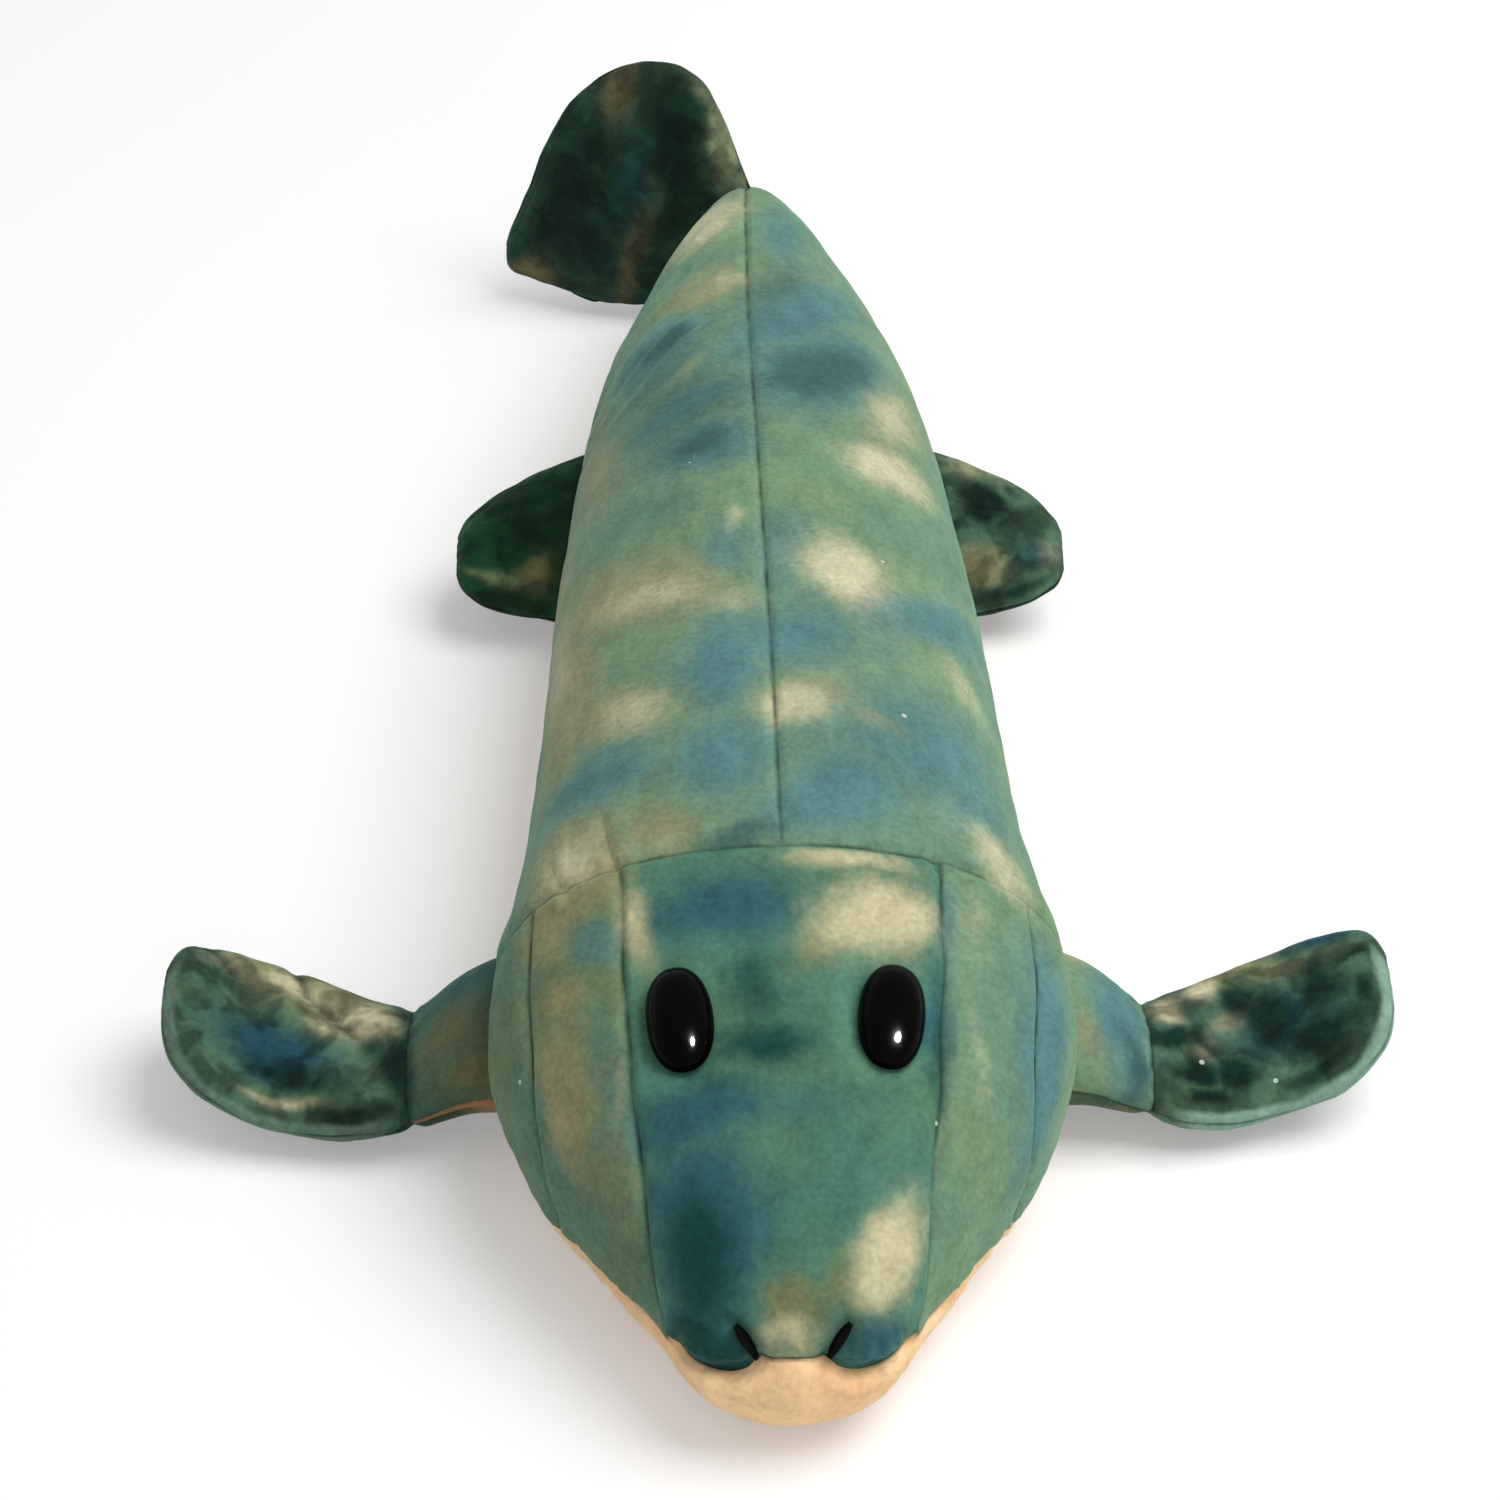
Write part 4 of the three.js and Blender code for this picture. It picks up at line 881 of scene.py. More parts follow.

# %% [markdown]
# ## Dyeing the cloth
# The cloth is printed with soft blotches of cream, tan, blue and dark green on a green ground. A
# picture could hold them, but amounts of dye kept on the corners of the mesh need no picture and
# run on over the seams. Each blotch is an oval: place behind the lip, place over the cloth from the
# crown line, half length, half width, tilt, and how strong it is. Noise makes their edges wander.
# A later blotch lies over the ones before it and thins the dyes that it doesn't mix with. A few
# deep blotches are painted shade, not print, as marked in the table.

# %% Blotches on the body, in mm
CREAM, BLUE, DEEP, TAN = range(4)
BODY_BLOTCHES = [
    # trunk, the toy's right side, from the tail to the neck
    # Of the deep ovals on this side, the broad and weak ones are painted shade, where this side lies in less
    # light.
    (CREAM, 329, -12, 16, 9, 15, 0.85), (DEEP, 229, -21, 34, 21, -5, 0.6),
    (DEEP, 185, -19, 20, 10, -15, 0.35), (TAN, 279, -13, 14, 10, 30, 0.7),
    (CREAM, 284, -6, 7, 3, 10, 0.5), (BLUE, 258, -23, 13, 9, 30, 0.9), (DEEP, 258, -23, 9, 6, 35, 0.8),
    (TAN, 243, -15, 9, 2, 40, 0.6), (BLUE, 225, -15, 13, 5, 55, 0.9), (DEEP, 230, -9, 13, 7, 15, 0.4),
    (BLUE, 206, -12, 10, 8, 65, 1), (DEEP, 207, -13, 7, 5, 70, 0.9), (TAN, 218, -40, 21, 8, -10, 0.6),
    (CREAM, 177, -6, 5, 2, 0, 0.6), (BLUE, 165, -8, 10, 6, 10, 0.7), (TAN, 160, -29, 22, 10, -65, 0.8),
    (CREAM, 156, -23, 12, 6, -70, 0.5), (CREAM, 148, -8, 6, 5, 75, 0.5), (TAN, 193, -55, 19, 8, 0, 0.8),
    (BLUE, 128, -10, 14, 8, 5, 1), (DEEP, 126, -14, 12, 7, -5, 0.22), (TAN, 145, -47, 29, 10, -5, 0.9),
    (CREAM, 154, -50, 20, 7, -5, 0.45), (TAN, 124, -34, 14, 8, -65, 0.7),
    (CREAM, 120, -27, 7, 6, -45, 0.6), (TAN, 131, -45, 18, 6, -45, 0.7),
    (BLUE, 103, -10, 11, 8, 35, 0.85), (BLUE, 105, -36, 13, 7, -85, 1),
    (DEEP, 106, -39, 8, 4, -80, 0.5), (TAN, 86, -21, 7, 6, -90, 0.65), (DEEP, 83, -6, 8, 3, 75, 0.65),
    (TAN, 84, -38, 13, 9, -15, 1), (CREAM, 85, -39, 8, 6, -10, 0.6), (TAN, 74, -42, 8, 6, -45, 0.9),
    # trunk, the toy's left side
    (BLUE, 312, 8, 20, 5, 0, 0.7), (DEEP, 281, 4, 17, 8, 25, 0.5), (BLUE, 265, 9, 22, 9, 30, 1),
    (DEEP, 260, 9, 17, 7, 35, 0.25), (BLUE, 241, 14, 21, 12, 35, 1), (DEEP, 240, 15, 16, 9, 40, 0.9),
    (TAN, 227, 30, 20, 9, 15, 0.5), (CREAM, 230, 30, 11, 6, 10, 0.6), (TAN, 203, 28, 12, 10, 30, 0.4),
    (CREAM, 204, 28, 9, 7, 85, 0.9), (BLUE, 166, 3, 12, 5, 5, 0.7), (TAN, 155, 16, 19, 10, 0, 0.4),
    (CREAM, 157, 16, 12, 7, -30, 1), (BLUE, 136, 5, 12, 10, 65, 0.85), (BLUE, 154, 35, 19, 7, 60, 0.85),
    (BLUE, 136, 23, 8, 7, -50, 0.4), (TAN, 120, 11, 8, 6, 80, 0.7), (CREAM, 116, 4, 6, 6, 5, 0.85),
    (CREAM, 136, 40, 9, 4, -30, 0.5), (BLUE, 110, 28, 17, 14, 70, 0.85),
    (TAN, 114, 19, 7, 3, -60, 0.55), (BLUE, 93, 11, 15, 8, 60, 0.9), (BLUE, 100, 37, 15, 8, 5, 0.7),
    (CREAM, 86, 42, 8, 5, -35, 0.7),
    # head
    (CREAM, 77, 12, 10, 2, -90, 0.8), (TAN, 62, 8, 9, 4, 55, 0.7), (CREAM, 66, 17, 11, 6, 85, 1),
    (CREAM, 67, -26, 7, 3, -10, 1), (BLUE, 68, -10, 13, 6, 85, 0.9), (BLUE, 68, 29, 8, 2, 5, 0.7),
    # Some deep ovals here are painted shade: thin ones in the hollows along the crown seams, one under the
    # toy's left eye, and those round the toy's right nostril.
    (BLUE, 50, 25, 8, 2, 5, 0.7), (DEEP, 53, -5, 6, 5, -10, 0.6), (DEEP, 44, -4, 8, 4, -85, 0.8),
    (DEEP, 38, -12, 11, 6, 85, 0.35), (DEEP, 45, 27, 13, 2, 0, 0.6), (DEEP, 21, -26, 10, 2, 30, 0.45),
    (DEEP, 37, 16, 5, 3, 85, 0.3), (BLUE, 33, -16, 14, 5, 85, 0.85), (BLUE, 34, 0, 12, 4, 85, 0.5),
    (BLUE, 17, -15, 13, 10, -15, 1), (DEEP, 13, -16, 9, 6, -5, 0.9), (TAN, 7, 9, 8, 3, 65, 0.6),
    (CREAM, 13, 17, 8, 4, 30, 1), (TAN, 4, 0, 5, 4, -80, 0.85), (CREAM, 1, -2, 6, 2, -90, 0.7),
    (BLUE, 5, -19, 10, 3, -70, 1), (DEEP, 4, -19, 12, 2, -70, 1), (BLUE, 3, 15, 8, 2, 75, 0.9),
    # cheeks and gills
    (BLUE, 66, -34, 5, 4, -30, 0.7), (TAN, 59, -41, 5, 4, -35, 0.8), (TAN, 44, -40, 12, 5, -10, 0.9),
    (CREAM, 40, -43, 4, 4, -60, 0.5), (CREAM, 39, -29, 15, 2, 0, 0.3), (TAN, 30, -35, 10, 4, -40, 0.5),
    (DEEP, 25, -39, 13, 4, -55, 0.3), (CREAM, 46, 34, 15, 2, -10, 0.3), (CREAM, 69, 35, 8, 3, 0, 0.35),
    (BLUE, 54, 50, 16, 6, 0, 1),
    # low on the sides, out of the photo: the right side, then the left
    (BLUE, 128, -66, 20, 8, 10, 0.7), (TAN, 168, -70, 14, 6, -10, 0.6), (BLUE, 212, -64, 18, 7, -15, 0.7),
    (CREAM, 240, -56, 9, 5, 20, 0.6), (DEEP, 262, -48, 12, 6, 10, 0.6), (BLUE, 300, -34, 16, 6, 15, 0.6),
    (CREAM, 120, 64, 10, 6, -20, 0.6), (BLUE, 158, 66, 20, 8, 15, 0.8), (TAN, 196, 60, 12, 7, -15, 0.6),
    (DEEP, 188, 74, 12, 5, 0, 0.5), (BLUE, 232, 56, 16, 7, 20, 0.6), (CREAM, 262, 50, 9, 5, -10, 0.6),
    (TAN, 300, 34, 14, 6, 5, 0.5),
]


# %% Mix the dyes
THINNED_BY = {CREAM: (BLUE, DEEP), BLUE: (CREAM, TAN), DEEP: (CREAM, TAN), TAN: (BLUE, DEEP)}


def dye_amounts(flat, blotches, wander):
    """Amounts of the four dyes at flat cloth places, from a table of ovals."""
    amounts = np.zeros((len(flat), 4))
    place = flat + wander
    for dye, along, across, length, width, tilt, strength in blotches:
        c, s = math.cos(math.radians(tilt)), math.sin(math.radians(tilt))
        far, over = place[:, 0] - along, place[:, 1] - across
        reach = np.sqrt(((far * c + over * s) / length) ** 2 + ((over * c - far * s) / width) ** 2)
        soft = strength * bell(reach / 1.25)
        amounts[:, dye] = np.maximum(amounts[:, dye], soft)
        for other in THINNED_BY[dye]:
            amounts[:, other] *= 1 - 0.85 * soft
    return amounts


def keep_dye(piece, amounts):
    dye = piece.data.attributes.new("dye", "FLOAT_COLOR", "POINT")
    dye.data.foreach_set("color", np.clip(amounts, 0, 1).astype(np.float32).ravel())


flat = spots(body_cloth)[:, :2] / MM
place = corners(body_cloth)
wander = [2.2 * rough(place, 14 * MM, seed) + rough(place, 4 * MM, seed + 1) for seed in (11, 13)]
keep_dye(body_cloth, dye_amounts(flat, BODY_BLOTCHES, np.stack(wander, -1)))
print("blotches on the body", len(BODY_BLOTCHES))

# %% [markdown]
# On the fins a place is a share of the span, and -1 at the front edge to 1 at the rear edge. The
# front fins have a painted highlight along their front edge and tip, where the rolled rim catches
# the light, and painted shade beside it and in their creases. Their deep patches are partly print
# and partly painted shade in the crumples.

# %% Blotches on the fins
FIN_BLOTCHES = {
    "front_fin_left": [
        (CREAM, 0.04, 0.7, 0.08, 0.35, 0, 0.4), (TAN, 0.1, -0.5, 0.08, 0.35, 0, 0.7),
        (BLUE, 0.2, 0, 0.08, 0.9, 0, 1), (DEEP, 0.24, -0.6, 0.05, 0.4, 0, 0.8),
        (CREAM, 0.36, 0.5, 0.04, 0.25, 0, 1), (CREAM, 0.47, 0.75, 0.05, 0.2, 0, 1),
        (TAN, 0.58, 0.9, 0.12, 0.2, 0, 0.9), (TAN, 0.74, 0.62, 0.13, 0.16, 0, 0.8),
        (DEEP, 0.58, 0.42, 0.06, 0.22, 0, 1), (BLUE, 0.7, -0.05, 0.14, 0.35, 0, 0.8),
        (DEEP, 0.67, 0.02, 0.08, 0.24, 0, 1), (DEEP, 0.83, 0.2, 0.05, 0.3, 0, 1),
        (DEEP, 0.83, -0.4, 0.09, 0.25, 0, 0.9), (DEEP, 0.35, 0.02, 0.05, 0.16, 0, 1),
        (DEEP, 0.42, -0.45, 0.08, 0.18, 0, 1), (DEEP, 0.54, -0.5, 0.07, 0.16, 0, 1),
        (BLUE, 0.85, 0.9, 0.1, 0.18, 0, 0.9), (CREAM, 0.45, -0.2, 0.04, 0.13, 0, 0.6),
        (CREAM, 0.53, 0.12, 0.05, 0.15, 0, 0.4),
    ],
    "front_fin_right": [
        (BLUE, 0.13, 0.6, 0.14, 0.45, 0, 0.7), (TAN, 0.15, -0.3, 0.12, 0.35, 0, 0.6),
        (TAN, 0.08, -0.85, 0.1, 0.14, 0, 1), (DEEP, 0.31, -0.2, 0.03, 0.9, 0, 1),
        (CREAM, 0.42, 0.42, 0.07, 0.3, 0, 1), (CREAM, 0.52, 0.3, 0.07, 0.2, 0, 0.8),
        (TAN, 0.6, 0.75, 0.18, 0.34, 0, 1), (CREAM, 0.62, 0.62, 0.14, 0.14, 0, 0.6),
        (CREAM, 0.82, 0.72, 0.07, 0.2, 0, 0.5), (BLUE, 0.69, -0.25, 0.17, 0.28, 0, 1),
        (DEEP, 0.6, -0.5, 0.08, 0.16, 0, 0.8), (DEEP, 0.74, -0.4, 0.08, 0.12, 0, 0.6),
        (CREAM, 0.64, -0.76, 0.12, 0.06, 0, 0.65), (DEEP, 0.46, -0.86, 0.16, 0.1, 0, 0.7),
        (DEEP, 0.36, 0.02, 0.06, 0.2, 0, 0.7),
    ],
    "hind_fin_left": [
        (CREAM, 0.3, 0.75, 0.18, 0.2, 0, 0.4), (TAN, 0.42, 0.95, 0.16, 0.14, 0, 0.8),
        (DEEP, 0.45, 0.35, 0.18, 0.25, 0, 1), (CREAM, 0.9, -0.35, 0.1, 0.35, 0, 0.45),
        (TAN, 0.4, -0.5, 0.2, 0.22, 0, 0.9), (DEEP, 0.12, 0.1, 0.1, 0.6, 0, 0.6),
        (BLUE, 0.8, -0.3, 0.14, 0.3, 0, 0.6), (DEEP, 0.62, -0.85, 0.25, 0.12, 0, 0.7),
    ],
    "hind_fin_right": [
        (DEEP, 0.5, 0.3, 0.35, 0.7, 0, 0.9), (TAN, 0.42, -0.5, 0.14, 0.2, 0, 0.8),
        (CREAM, 0.7, -0.62, 0.22, 0.12, 20, 0.5), (DEEP, 0.1, 0, 0.12, 0.9, 0, 1),
    ],
    "tail_fin": [
        (TAN, 0.5, 0.75, 0.07, 0.3, 0, 0.8), (TAN, 0.42, -0.3, 0.04, 0.7, 5, 0.7),
        (CREAM, 0.1, 0.72, 0.07, 0.5, 0, 0.9), (CREAM, 0.2, 0.9, 0.1, 0.12, 0, 0.6),
        (DEEP, 0.3, 0.3, 0.08, 0.5, 0, 0.9), (DEEP, 0.72, -0.1, 0.14, 0.5, 0, 1),
        (BLUE, 0.45, 0.1, 0.06, 0.4, 0, 0.6), (TAN, 0.88, -0.75, 0.1, 0.3, 0, 0.9),
        (DEEP, 0.62, 0.4, 0.1, 0.3, 0, 0.6),
    ],
}
UNDER_BLOTCHES = {"front_fin_right": [(DEEP, 0.27, -0.7, 0.13, 0.8, 0, 1)]}  # darker at the wrist
RIM_HIGHLIGHTS = {"front_fin_left": 1, "front_fin_right": 0.35}  # how bright the painted highlight on the rim is; the toy's left fin faces the light
SEEN_FACE = {"tail_fin": -1}  # the tail fin turns its rear panel up to the light, the others their top
for name, (fin, seed) in fins.items():
    spot, place = spots(fin), corners(fin)
    wander = 0.05 * np.stack([rough(place, 8 * MM, seed), 2 * rough(place, 8 * MM, seed + 1)], -1)
    top = spot[:, 2] * SEEN_FACE.get(name, 1) > -0.1
    amounts = dye_amounts(spot[:, :2], FIN_BLOTCHES[name], wander) * top[:, None]
    amounts += dye_amounts(spot[:, :2], UNDER_BLOTCHES.get(name, []), wander) * ~top[:, None]
    patches = rough(place, 11 * MM, seed + 20)
    amounts[:, TAN] = np.maximum(amounts[:, TAN], 0.5 * smooth((patches - 0.2) / 0.3) * ~top)
    # The rim number is a painted highlight along the rolled front edge and tip; the deep dye added below is
    # painted shade beside it and in the creases.
    rim = np.zeros(len(place))
    if name in RIM_HIGHLIGHTS:
        from_rim = np.empty(len(place), np.float32)
        fin.data.attributes["seam"].data.foreach_get("value", from_rim)
        from_rim = from_rim + 0.6 * rough(place, 5 * MM, seed + 30)
        outer = smooth((-0.2 - spot[:, 1]) / 0.3) * smooth((spot[:, 0] - 0.32) / 0.1)
        outer = np.maximum(outer, smooth((spot[:, 0] - 0.86) / 0.08) * smooth((0.9 - spot[:, 1]) / 0.4))
        rim = RIM_HIGHLIGHTS[name] * outer * (1 - smooth((from_rim - 1.8) / 1.2))
        shade_beside_rim = outer * bell((from_rim - 5) / 2.2) * smooth(0.5 + 1.2 * rough(place, 8 * MM, seed + 31))
        crease_shade = 0.7 * bell(crease_distance[name] / 0.025) * top
        dark = 0.8 * np.maximum(RIM_HIGHLIGHTS[name] * shade_beside_rim, crease_shade)
        amounts[:, DEEP] = np.maximum(amounts[:, DEEP], dark)
    keep_number(fin, "rim", rim)
    keep_dye(fin, amounts)
print("blotches on the fins", {name: len(rows) for name, rows in FIN_BLOTCHES.items()})

# %% [markdown]
# ## From one skin to real panels
# The panels were shaped together so that they meet exactly. Now each becomes a piece of its own,
# gets its thickness of cloth on the inside, and takes the place of its plain node. Thin places,
# such as the lip and the rims of the fins, get thinner cloth so that it doesn't cross itself.

# %% Separate the panels and give them thickness
CLOTH_THICKNESS, THICKNESS_STEPS = 1.5 * MM, 50


def separate_cloths(skin):
    only(skin)
    bpy.ops.object.mode_set(mode="EDIT")
    bpy.ops.mesh.select_all(action="SELECT")
    bpy.ops.mesh.separate(type="MATERIAL")
    bpy.ops.object.mode_set(mode="OBJECT")
    return list(bpy.context.selected_objects)


def thicken(panel, room):
    """Solidify inwards; room is how deep the piece is under each corner."""
    only(panel)
    group = panel.vertex_groups.new(name="thickness")
    weight = np.clip(0.8 * room / CLOTH_THICKNESS, 0.06, 1)
    steps = (weight * THICKNESS_STEPS).astype(int)
    for step in np.unique(steps):
        group.add([int(i) for i in np.flatnonzero(steps == step)], float(step) / THICKNESS_STEPS, "REPLACE")
    bpy.ops.object.modifier_add(type="SOLIDIFY")
    wall = panel.modifiers[-1]
    wall.thickness = CLOTH_THICKNESS
    wall.offset = -1
    wall.vertex_group = group.name
    bpy.ops.object.modifier_apply(modifier=wall.name)
    panel.vertex_groups.clear()
    bpy.ops.object.shade_smooth_by_angle(angle=math.radians(50))


BODY_SLOTS = {
    "crown": "teal_plush", "cheek": "green_plush", "gill": "teal_plush", "chin": "peach_plush",
    "back": "green_plush", "belly": "peach_plush",
}
cloth_pieces = {}  # each panel and the slot of its usual cloth


def finish_panel(panel, node, slot, room):
    panel.name = panel.data.name = panel.data.materials[0].name
    thicken(panel, room)
    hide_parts(node)
    cloth_pieces[panel.name] = (panel, slot)


for panel in separate_cloths(body_cloth):
    cloth = panel.data.materials[0].name
    slot = BODY_SLOTS[cloth.split("_")[0]]
    spot = spots(panel)
    if slot == "peach_plush":  # plain cloth, only a little deeper in places
        amounts = np.zeros((len(spot), 4))
        amounts[:, TAN] = 0.45 * smooth((rough(corners(panel), 9 * MM, 41) - 0.05) / 0.5)
        panel.data.attributes["dye"].data.foreach_set("color", amounts.astype(np.float32).ravel())
    half = body_curves[0](spot[:, 0])
    room = np.minimum(half, 0.35 * half + 0.3 * spot[:, 0])
    finish_panel(panel, cloth.replace("cloth", "panel"), slot, room)
    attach(panel, "body")
print("body panels", len(cloth_pieces))

# %% [markdown]
# A fin's cloth runs on over its joint in one piece, and its corners stay where they were shaped.


out = np.array([1, 0, 0])
wrist_out = np.array(front_centre(WRIST_SHARE + 0.05)) - np.array(wrist)
wrist_out /= np.linalg.norm(wrist_out)


def follow_joint(piece):
    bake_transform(piece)


ARM_SLOTS = {"arm_top": "teal_plush", "arm_under": "peach_plush"}
for name, (fin, _) in fins.items():
    kind = name.split("_")[0]
    shares, (_, chord) = np.array(FIN_SHARES[kind]), FIN_SIZES[kind]
    deep = curve_through(shares[:, 0], shares[:, 4])
    for panel in separate_cloths(fin):
        cloth = panel.data.materials[0].name
        spot = spots(panel)
        room = deep(spot[:, 0]) * chord / 2 * (0.15 + 0.85 * np.abs(spot[:, 2]))
        node = cloth.replace("_cloth", "_panel" if kind == "tail" else "")
        slot = next((s for key, s in ARM_SLOTS.items() if cloth.startswith(key)), "dark_velvet")
        finish_panel(panel, node, slot, room)
        follow_joint(panel)
print("cloth pieces", len(cloth_pieces))

# %% [markdown]
# ## Filling
# Polyester fibre fills each part. It is never seen from outside, so its plain node's form is kept:
# a copy is remeshed to an even net and roughened into the clumps that fibre packs into.

# %% Clumps of fibre
FIBRE_NODES = [n for n in sorted(frame["nodes"]) if n.endswith("filling") or "_filling_" in n]
BODY_FIBRE, FIN_FIBRE = (2.5 * MM, 1.6 * MM), (0.8 * MM, 0.4 * MM)  # size of the net, size of the clumps


def make_fibre(node, voxel, clump):
    only(frame["nodes"][node])
    bpy.ops.object.duplicate()
    bpy.ops.object.parent_clear(type="CLEAR_KEEP_TRANSFORM")
    fibre = bpy.context.active_object
    fibre.name = fibre.data.name = node.replace("filling", "fibre")
    bpy.ops.object.mode_set(mode="EDIT")
    bpy.ops.mesh.select_all(action="SELECT")
    bpy.ops.mesh.remove_doubles(threshold=0.005 * MM)
    bpy.ops.object.mode_set(mode="OBJECT")
    bpy.ops.object.modifier_add(type="REMESH")
    net = fibre.modifiers[-1]
    net.mode, net.voxel_size = "VOXEL", voxel
    bpy.ops.object.modifier_apply(modifier=net.name)
    refine(fibre, 1)
    place = corners(fibre)
    sink = 0.5 * clump * (1 + rough(place, 4 * clump, 5)) + 0.3 * clump * rough(place, 1.5 * clump, 6)
    put_corners(fibre, place - outward(fibre) * sink[:, None])
    bpy.ops.object.shade_smooth()
    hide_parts(node)
    return fibre


fibres = []
for node in FIBRE_NODES:
    in_body = node in ("head_filling", "trunk_filling")
    fibre = make_fibre(node, *(BODY_FIBRE if in_body else FIN_FIBRE))
    if in_body:
        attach(fibre, "body")
    else:
        follow_joint(fibre)
    fibres.append(fibre)
print("fibre pieces", [f.name for f in fibres])

# %% [markdown]
# ## Safety eyes
# A plastic eye is one glossy moulding: an oval dome on a ribbed post that goes through the cloth
# and locks in a toothed washer behind it. A sphere cut in half makes the dome, and a circle drawn
# down in small steps makes the post with its ribs.

# %% The eyes
EYE_BACK = -0.7 * MM  # the dome's flat back, under the cloth's surface
POST_RADIUS, POST_LENGTH, NECK_LENGTH = 2 * MM, 15 * MM, 5 * MM
RIBS, RIB_HEIGHT, RIB_PITCH = 5, 0.35 * MM, 1.8 * MM


def seat_matrix(seat_):
    here, across, back, out = seat_
    turn = Matrix((across, back, out)).transposed().to_4x4()
    turn.translation = here
    return turn


def make_dome():
    bpy.ops.object.select_all(action="DESELECT")
    bpy.ops.mesh.primitive_uv_sphere_add(segments=64, ring_count=32, radius=1)
    dome = bpy.context.active_object
    bpy.ops.object.mode_set(mode="EDIT")
    bpy.ops.mesh.select_all(action="SELECT")
    bpy.ops.transform.resize(value=(EYE_WIDTH / 2, EYE_LENGTH / 2, EYE_DOME))
    bpy.ops.mesh.bisect(plane_co=(0, 0, 0.02 * MM), plane_no=(0, 0, 1), use_fill=True, clear_inner=True)
    bpy.ops.mesh.select_all(action="SELECT")
    bpy.ops.transform.translate(value=(0, 0, EYE_BACK))
    bpy.ops.object.mode_set(mode="OBJECT")
    place = corners(dome)
    share = place[:, :2] / (EYE_WIDTH / 2, EYE_LENGTH / 2)
    turn = np.arctan2(share[:, 1], share[:, 0])
    power = EYE_SQUARENESS
    fuller = (np.abs(np.cos(turn)) ** power + np.abs(np.sin(turn)) ** power) ** (-1 / power)
    place[:, :2] *= fuller[:, None]
    put_corners(dome, place)
    return dome


def make_post():
    bpy.ops.object.select_all(action="DESELECT")
    start = (0, 0, EYE_BACK + 1 * MM)
    bpy.ops.mesh.primitive_circle_add(vertices=32, radius=POST_RADIUS, fill_type="NGON", location=start)
    post = bpy.context.active_object
    bpy.ops.object.transform_apply(location=True)
    bpy.ops.object.mode_set(mode="EDIT")
    bpy.ops.mesh.select_all(action="SELECT")

    def draw_down(drop, scale):
        bpy.ops.mesh.extrude_region_move(TRANSFORM_OT_translate={"value": (0, 0, -drop)})
        bpy.ops.transform.resize(value=(scale, scale, 1))

    rib = 1 + RIB_HEIGHT / POST_RADIUS
    bpy.ops.mesh.extrude_region_move(TRANSFORM_OT_translate={"value": (0, 0, -NECK_LENGTH)})
    for _ in range(RIBS):
        draw_down(RIB_PITCH / 4, rib)
        draw_down(RIB_PITCH / 4, 1 / rib)
        draw_down(RIB_PITCH / 2, 1)
    draw_down(POST_LENGTH - NECK_LENGTH - RIBS * RIB_PITCH, 0.6)
    bpy.ops.mesh.select_all(action="SELECT")
    bpy.ops.mesh.normals_make_consistent(inside=False)
    bpy.ops.object.mode_set(mode="OBJECT")
    return post


def take_place(piece, name, node, seat_, crease):
    """Name a piece that was made at the origin, set it in its seat, and let it stand for its node."""
    piece.name = piece.data.name = name
    piece.data.transform(seat_matrix(seat_))
    bpy.ops.object.shade_smooth_by_angle(angle=math.radians(crease))
    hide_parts(node)
    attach(piece, "body")
    return piece


eyes = {}
for side in SIDES:
    dome, post = make_dome(), make_post()
    only(dome, post)
    bpy.ops.object.join()
    eye = bpy.context.active_object
    eyes[side] = take_place(eye, f"glossy_eye_{side}", f"eye_{side}", eye_seats[side], 40)
print("eyes", [eye.name for eye in eyes.values()])

# %% [markdown]
# ## Stitched nostrils
# Each nostril is a bar of satin stitch: thread wrapped side by side over the cloth. One wrap is
# modelled, and its copies are laid along the bar, shorter towards the ends.

# %% The nostrils
NOSTRIL_WIDTH, NOSTRIL_LENGTH, WRAPS = 1.7 * MM, 6.6 * MM, 13
THREAD_RADIUS, WRAP_BOW, WRAP_SINK = 0.36 * MM, 0.55 * MM, 0.35 * MM


def make_wrap():
    bpy.ops.object.select_all(action="DESELECT")
    bpy.ops.mesh.primitive_cylinder_add(
        vertices=10, radius=THREAD_RADIUS, depth=NOSTRIL_WIDTH, rotation=(0, math.pi / 2, 0)
    )
    wrap = bpy.context.active_object
    bpy.ops.object.transform_apply(rotation=True)
    bpy.ops.object.mode_set(mode="EDIT")
    for cut in (-0.75, -0.4, 0, 0.4, 0.75):
        bpy.ops.mesh.select_all(action="SELECT")
        bpy.ops.mesh.bisect(plane_co=(cut * NOSTRIL_WIDTH / 2, 0, 0), plane_no=(1, 0, 0))
    bpy.ops.object.mode_set(mode="OBJECT")
    place = corners(wrap)
    bow = (place[:, 0] / (NOSTRIL_WIDTH / 2)) ** 2
    place[:, 2] += WRAP_BOW * (1 - 2 * bow)
    put_corners(wrap, place)
    return wrap


nostrils = {}
for side in SIDES:
    pattern = make_wrap()
    wraps = []
    for i in range(WRAPS):
        share = (i + 0.5) / WRAPS * 2 - 1
        only(pattern)
        bpy.ops.object.duplicate()
        wrap = bpy.context.active_object
        wide = math.sqrt(1 - 0.9 * share**2)
        wrap.data.transform(Matrix.Diagonal((wide, 1, 0.5 + 0.5 * wide, 1)))
        wrap.data.transform(Matrix.Translation((0, share * NOSTRIL_LENGTH / 2, -WRAP_SINK)))
        wraps.append(wrap)
    bpy.data.objects.remove(pattern)
    only(*wraps)
    bpy.ops.object.join()
    name, node = f"satin_nostril_{side}", f"nostril_stitch_{side}"
    nostril = bpy.context.active_object
    nostrils[side] = take_place(nostril, name, node, nostril_seats[side], 60)
print("thread wraps in each nostril", WRAPS)

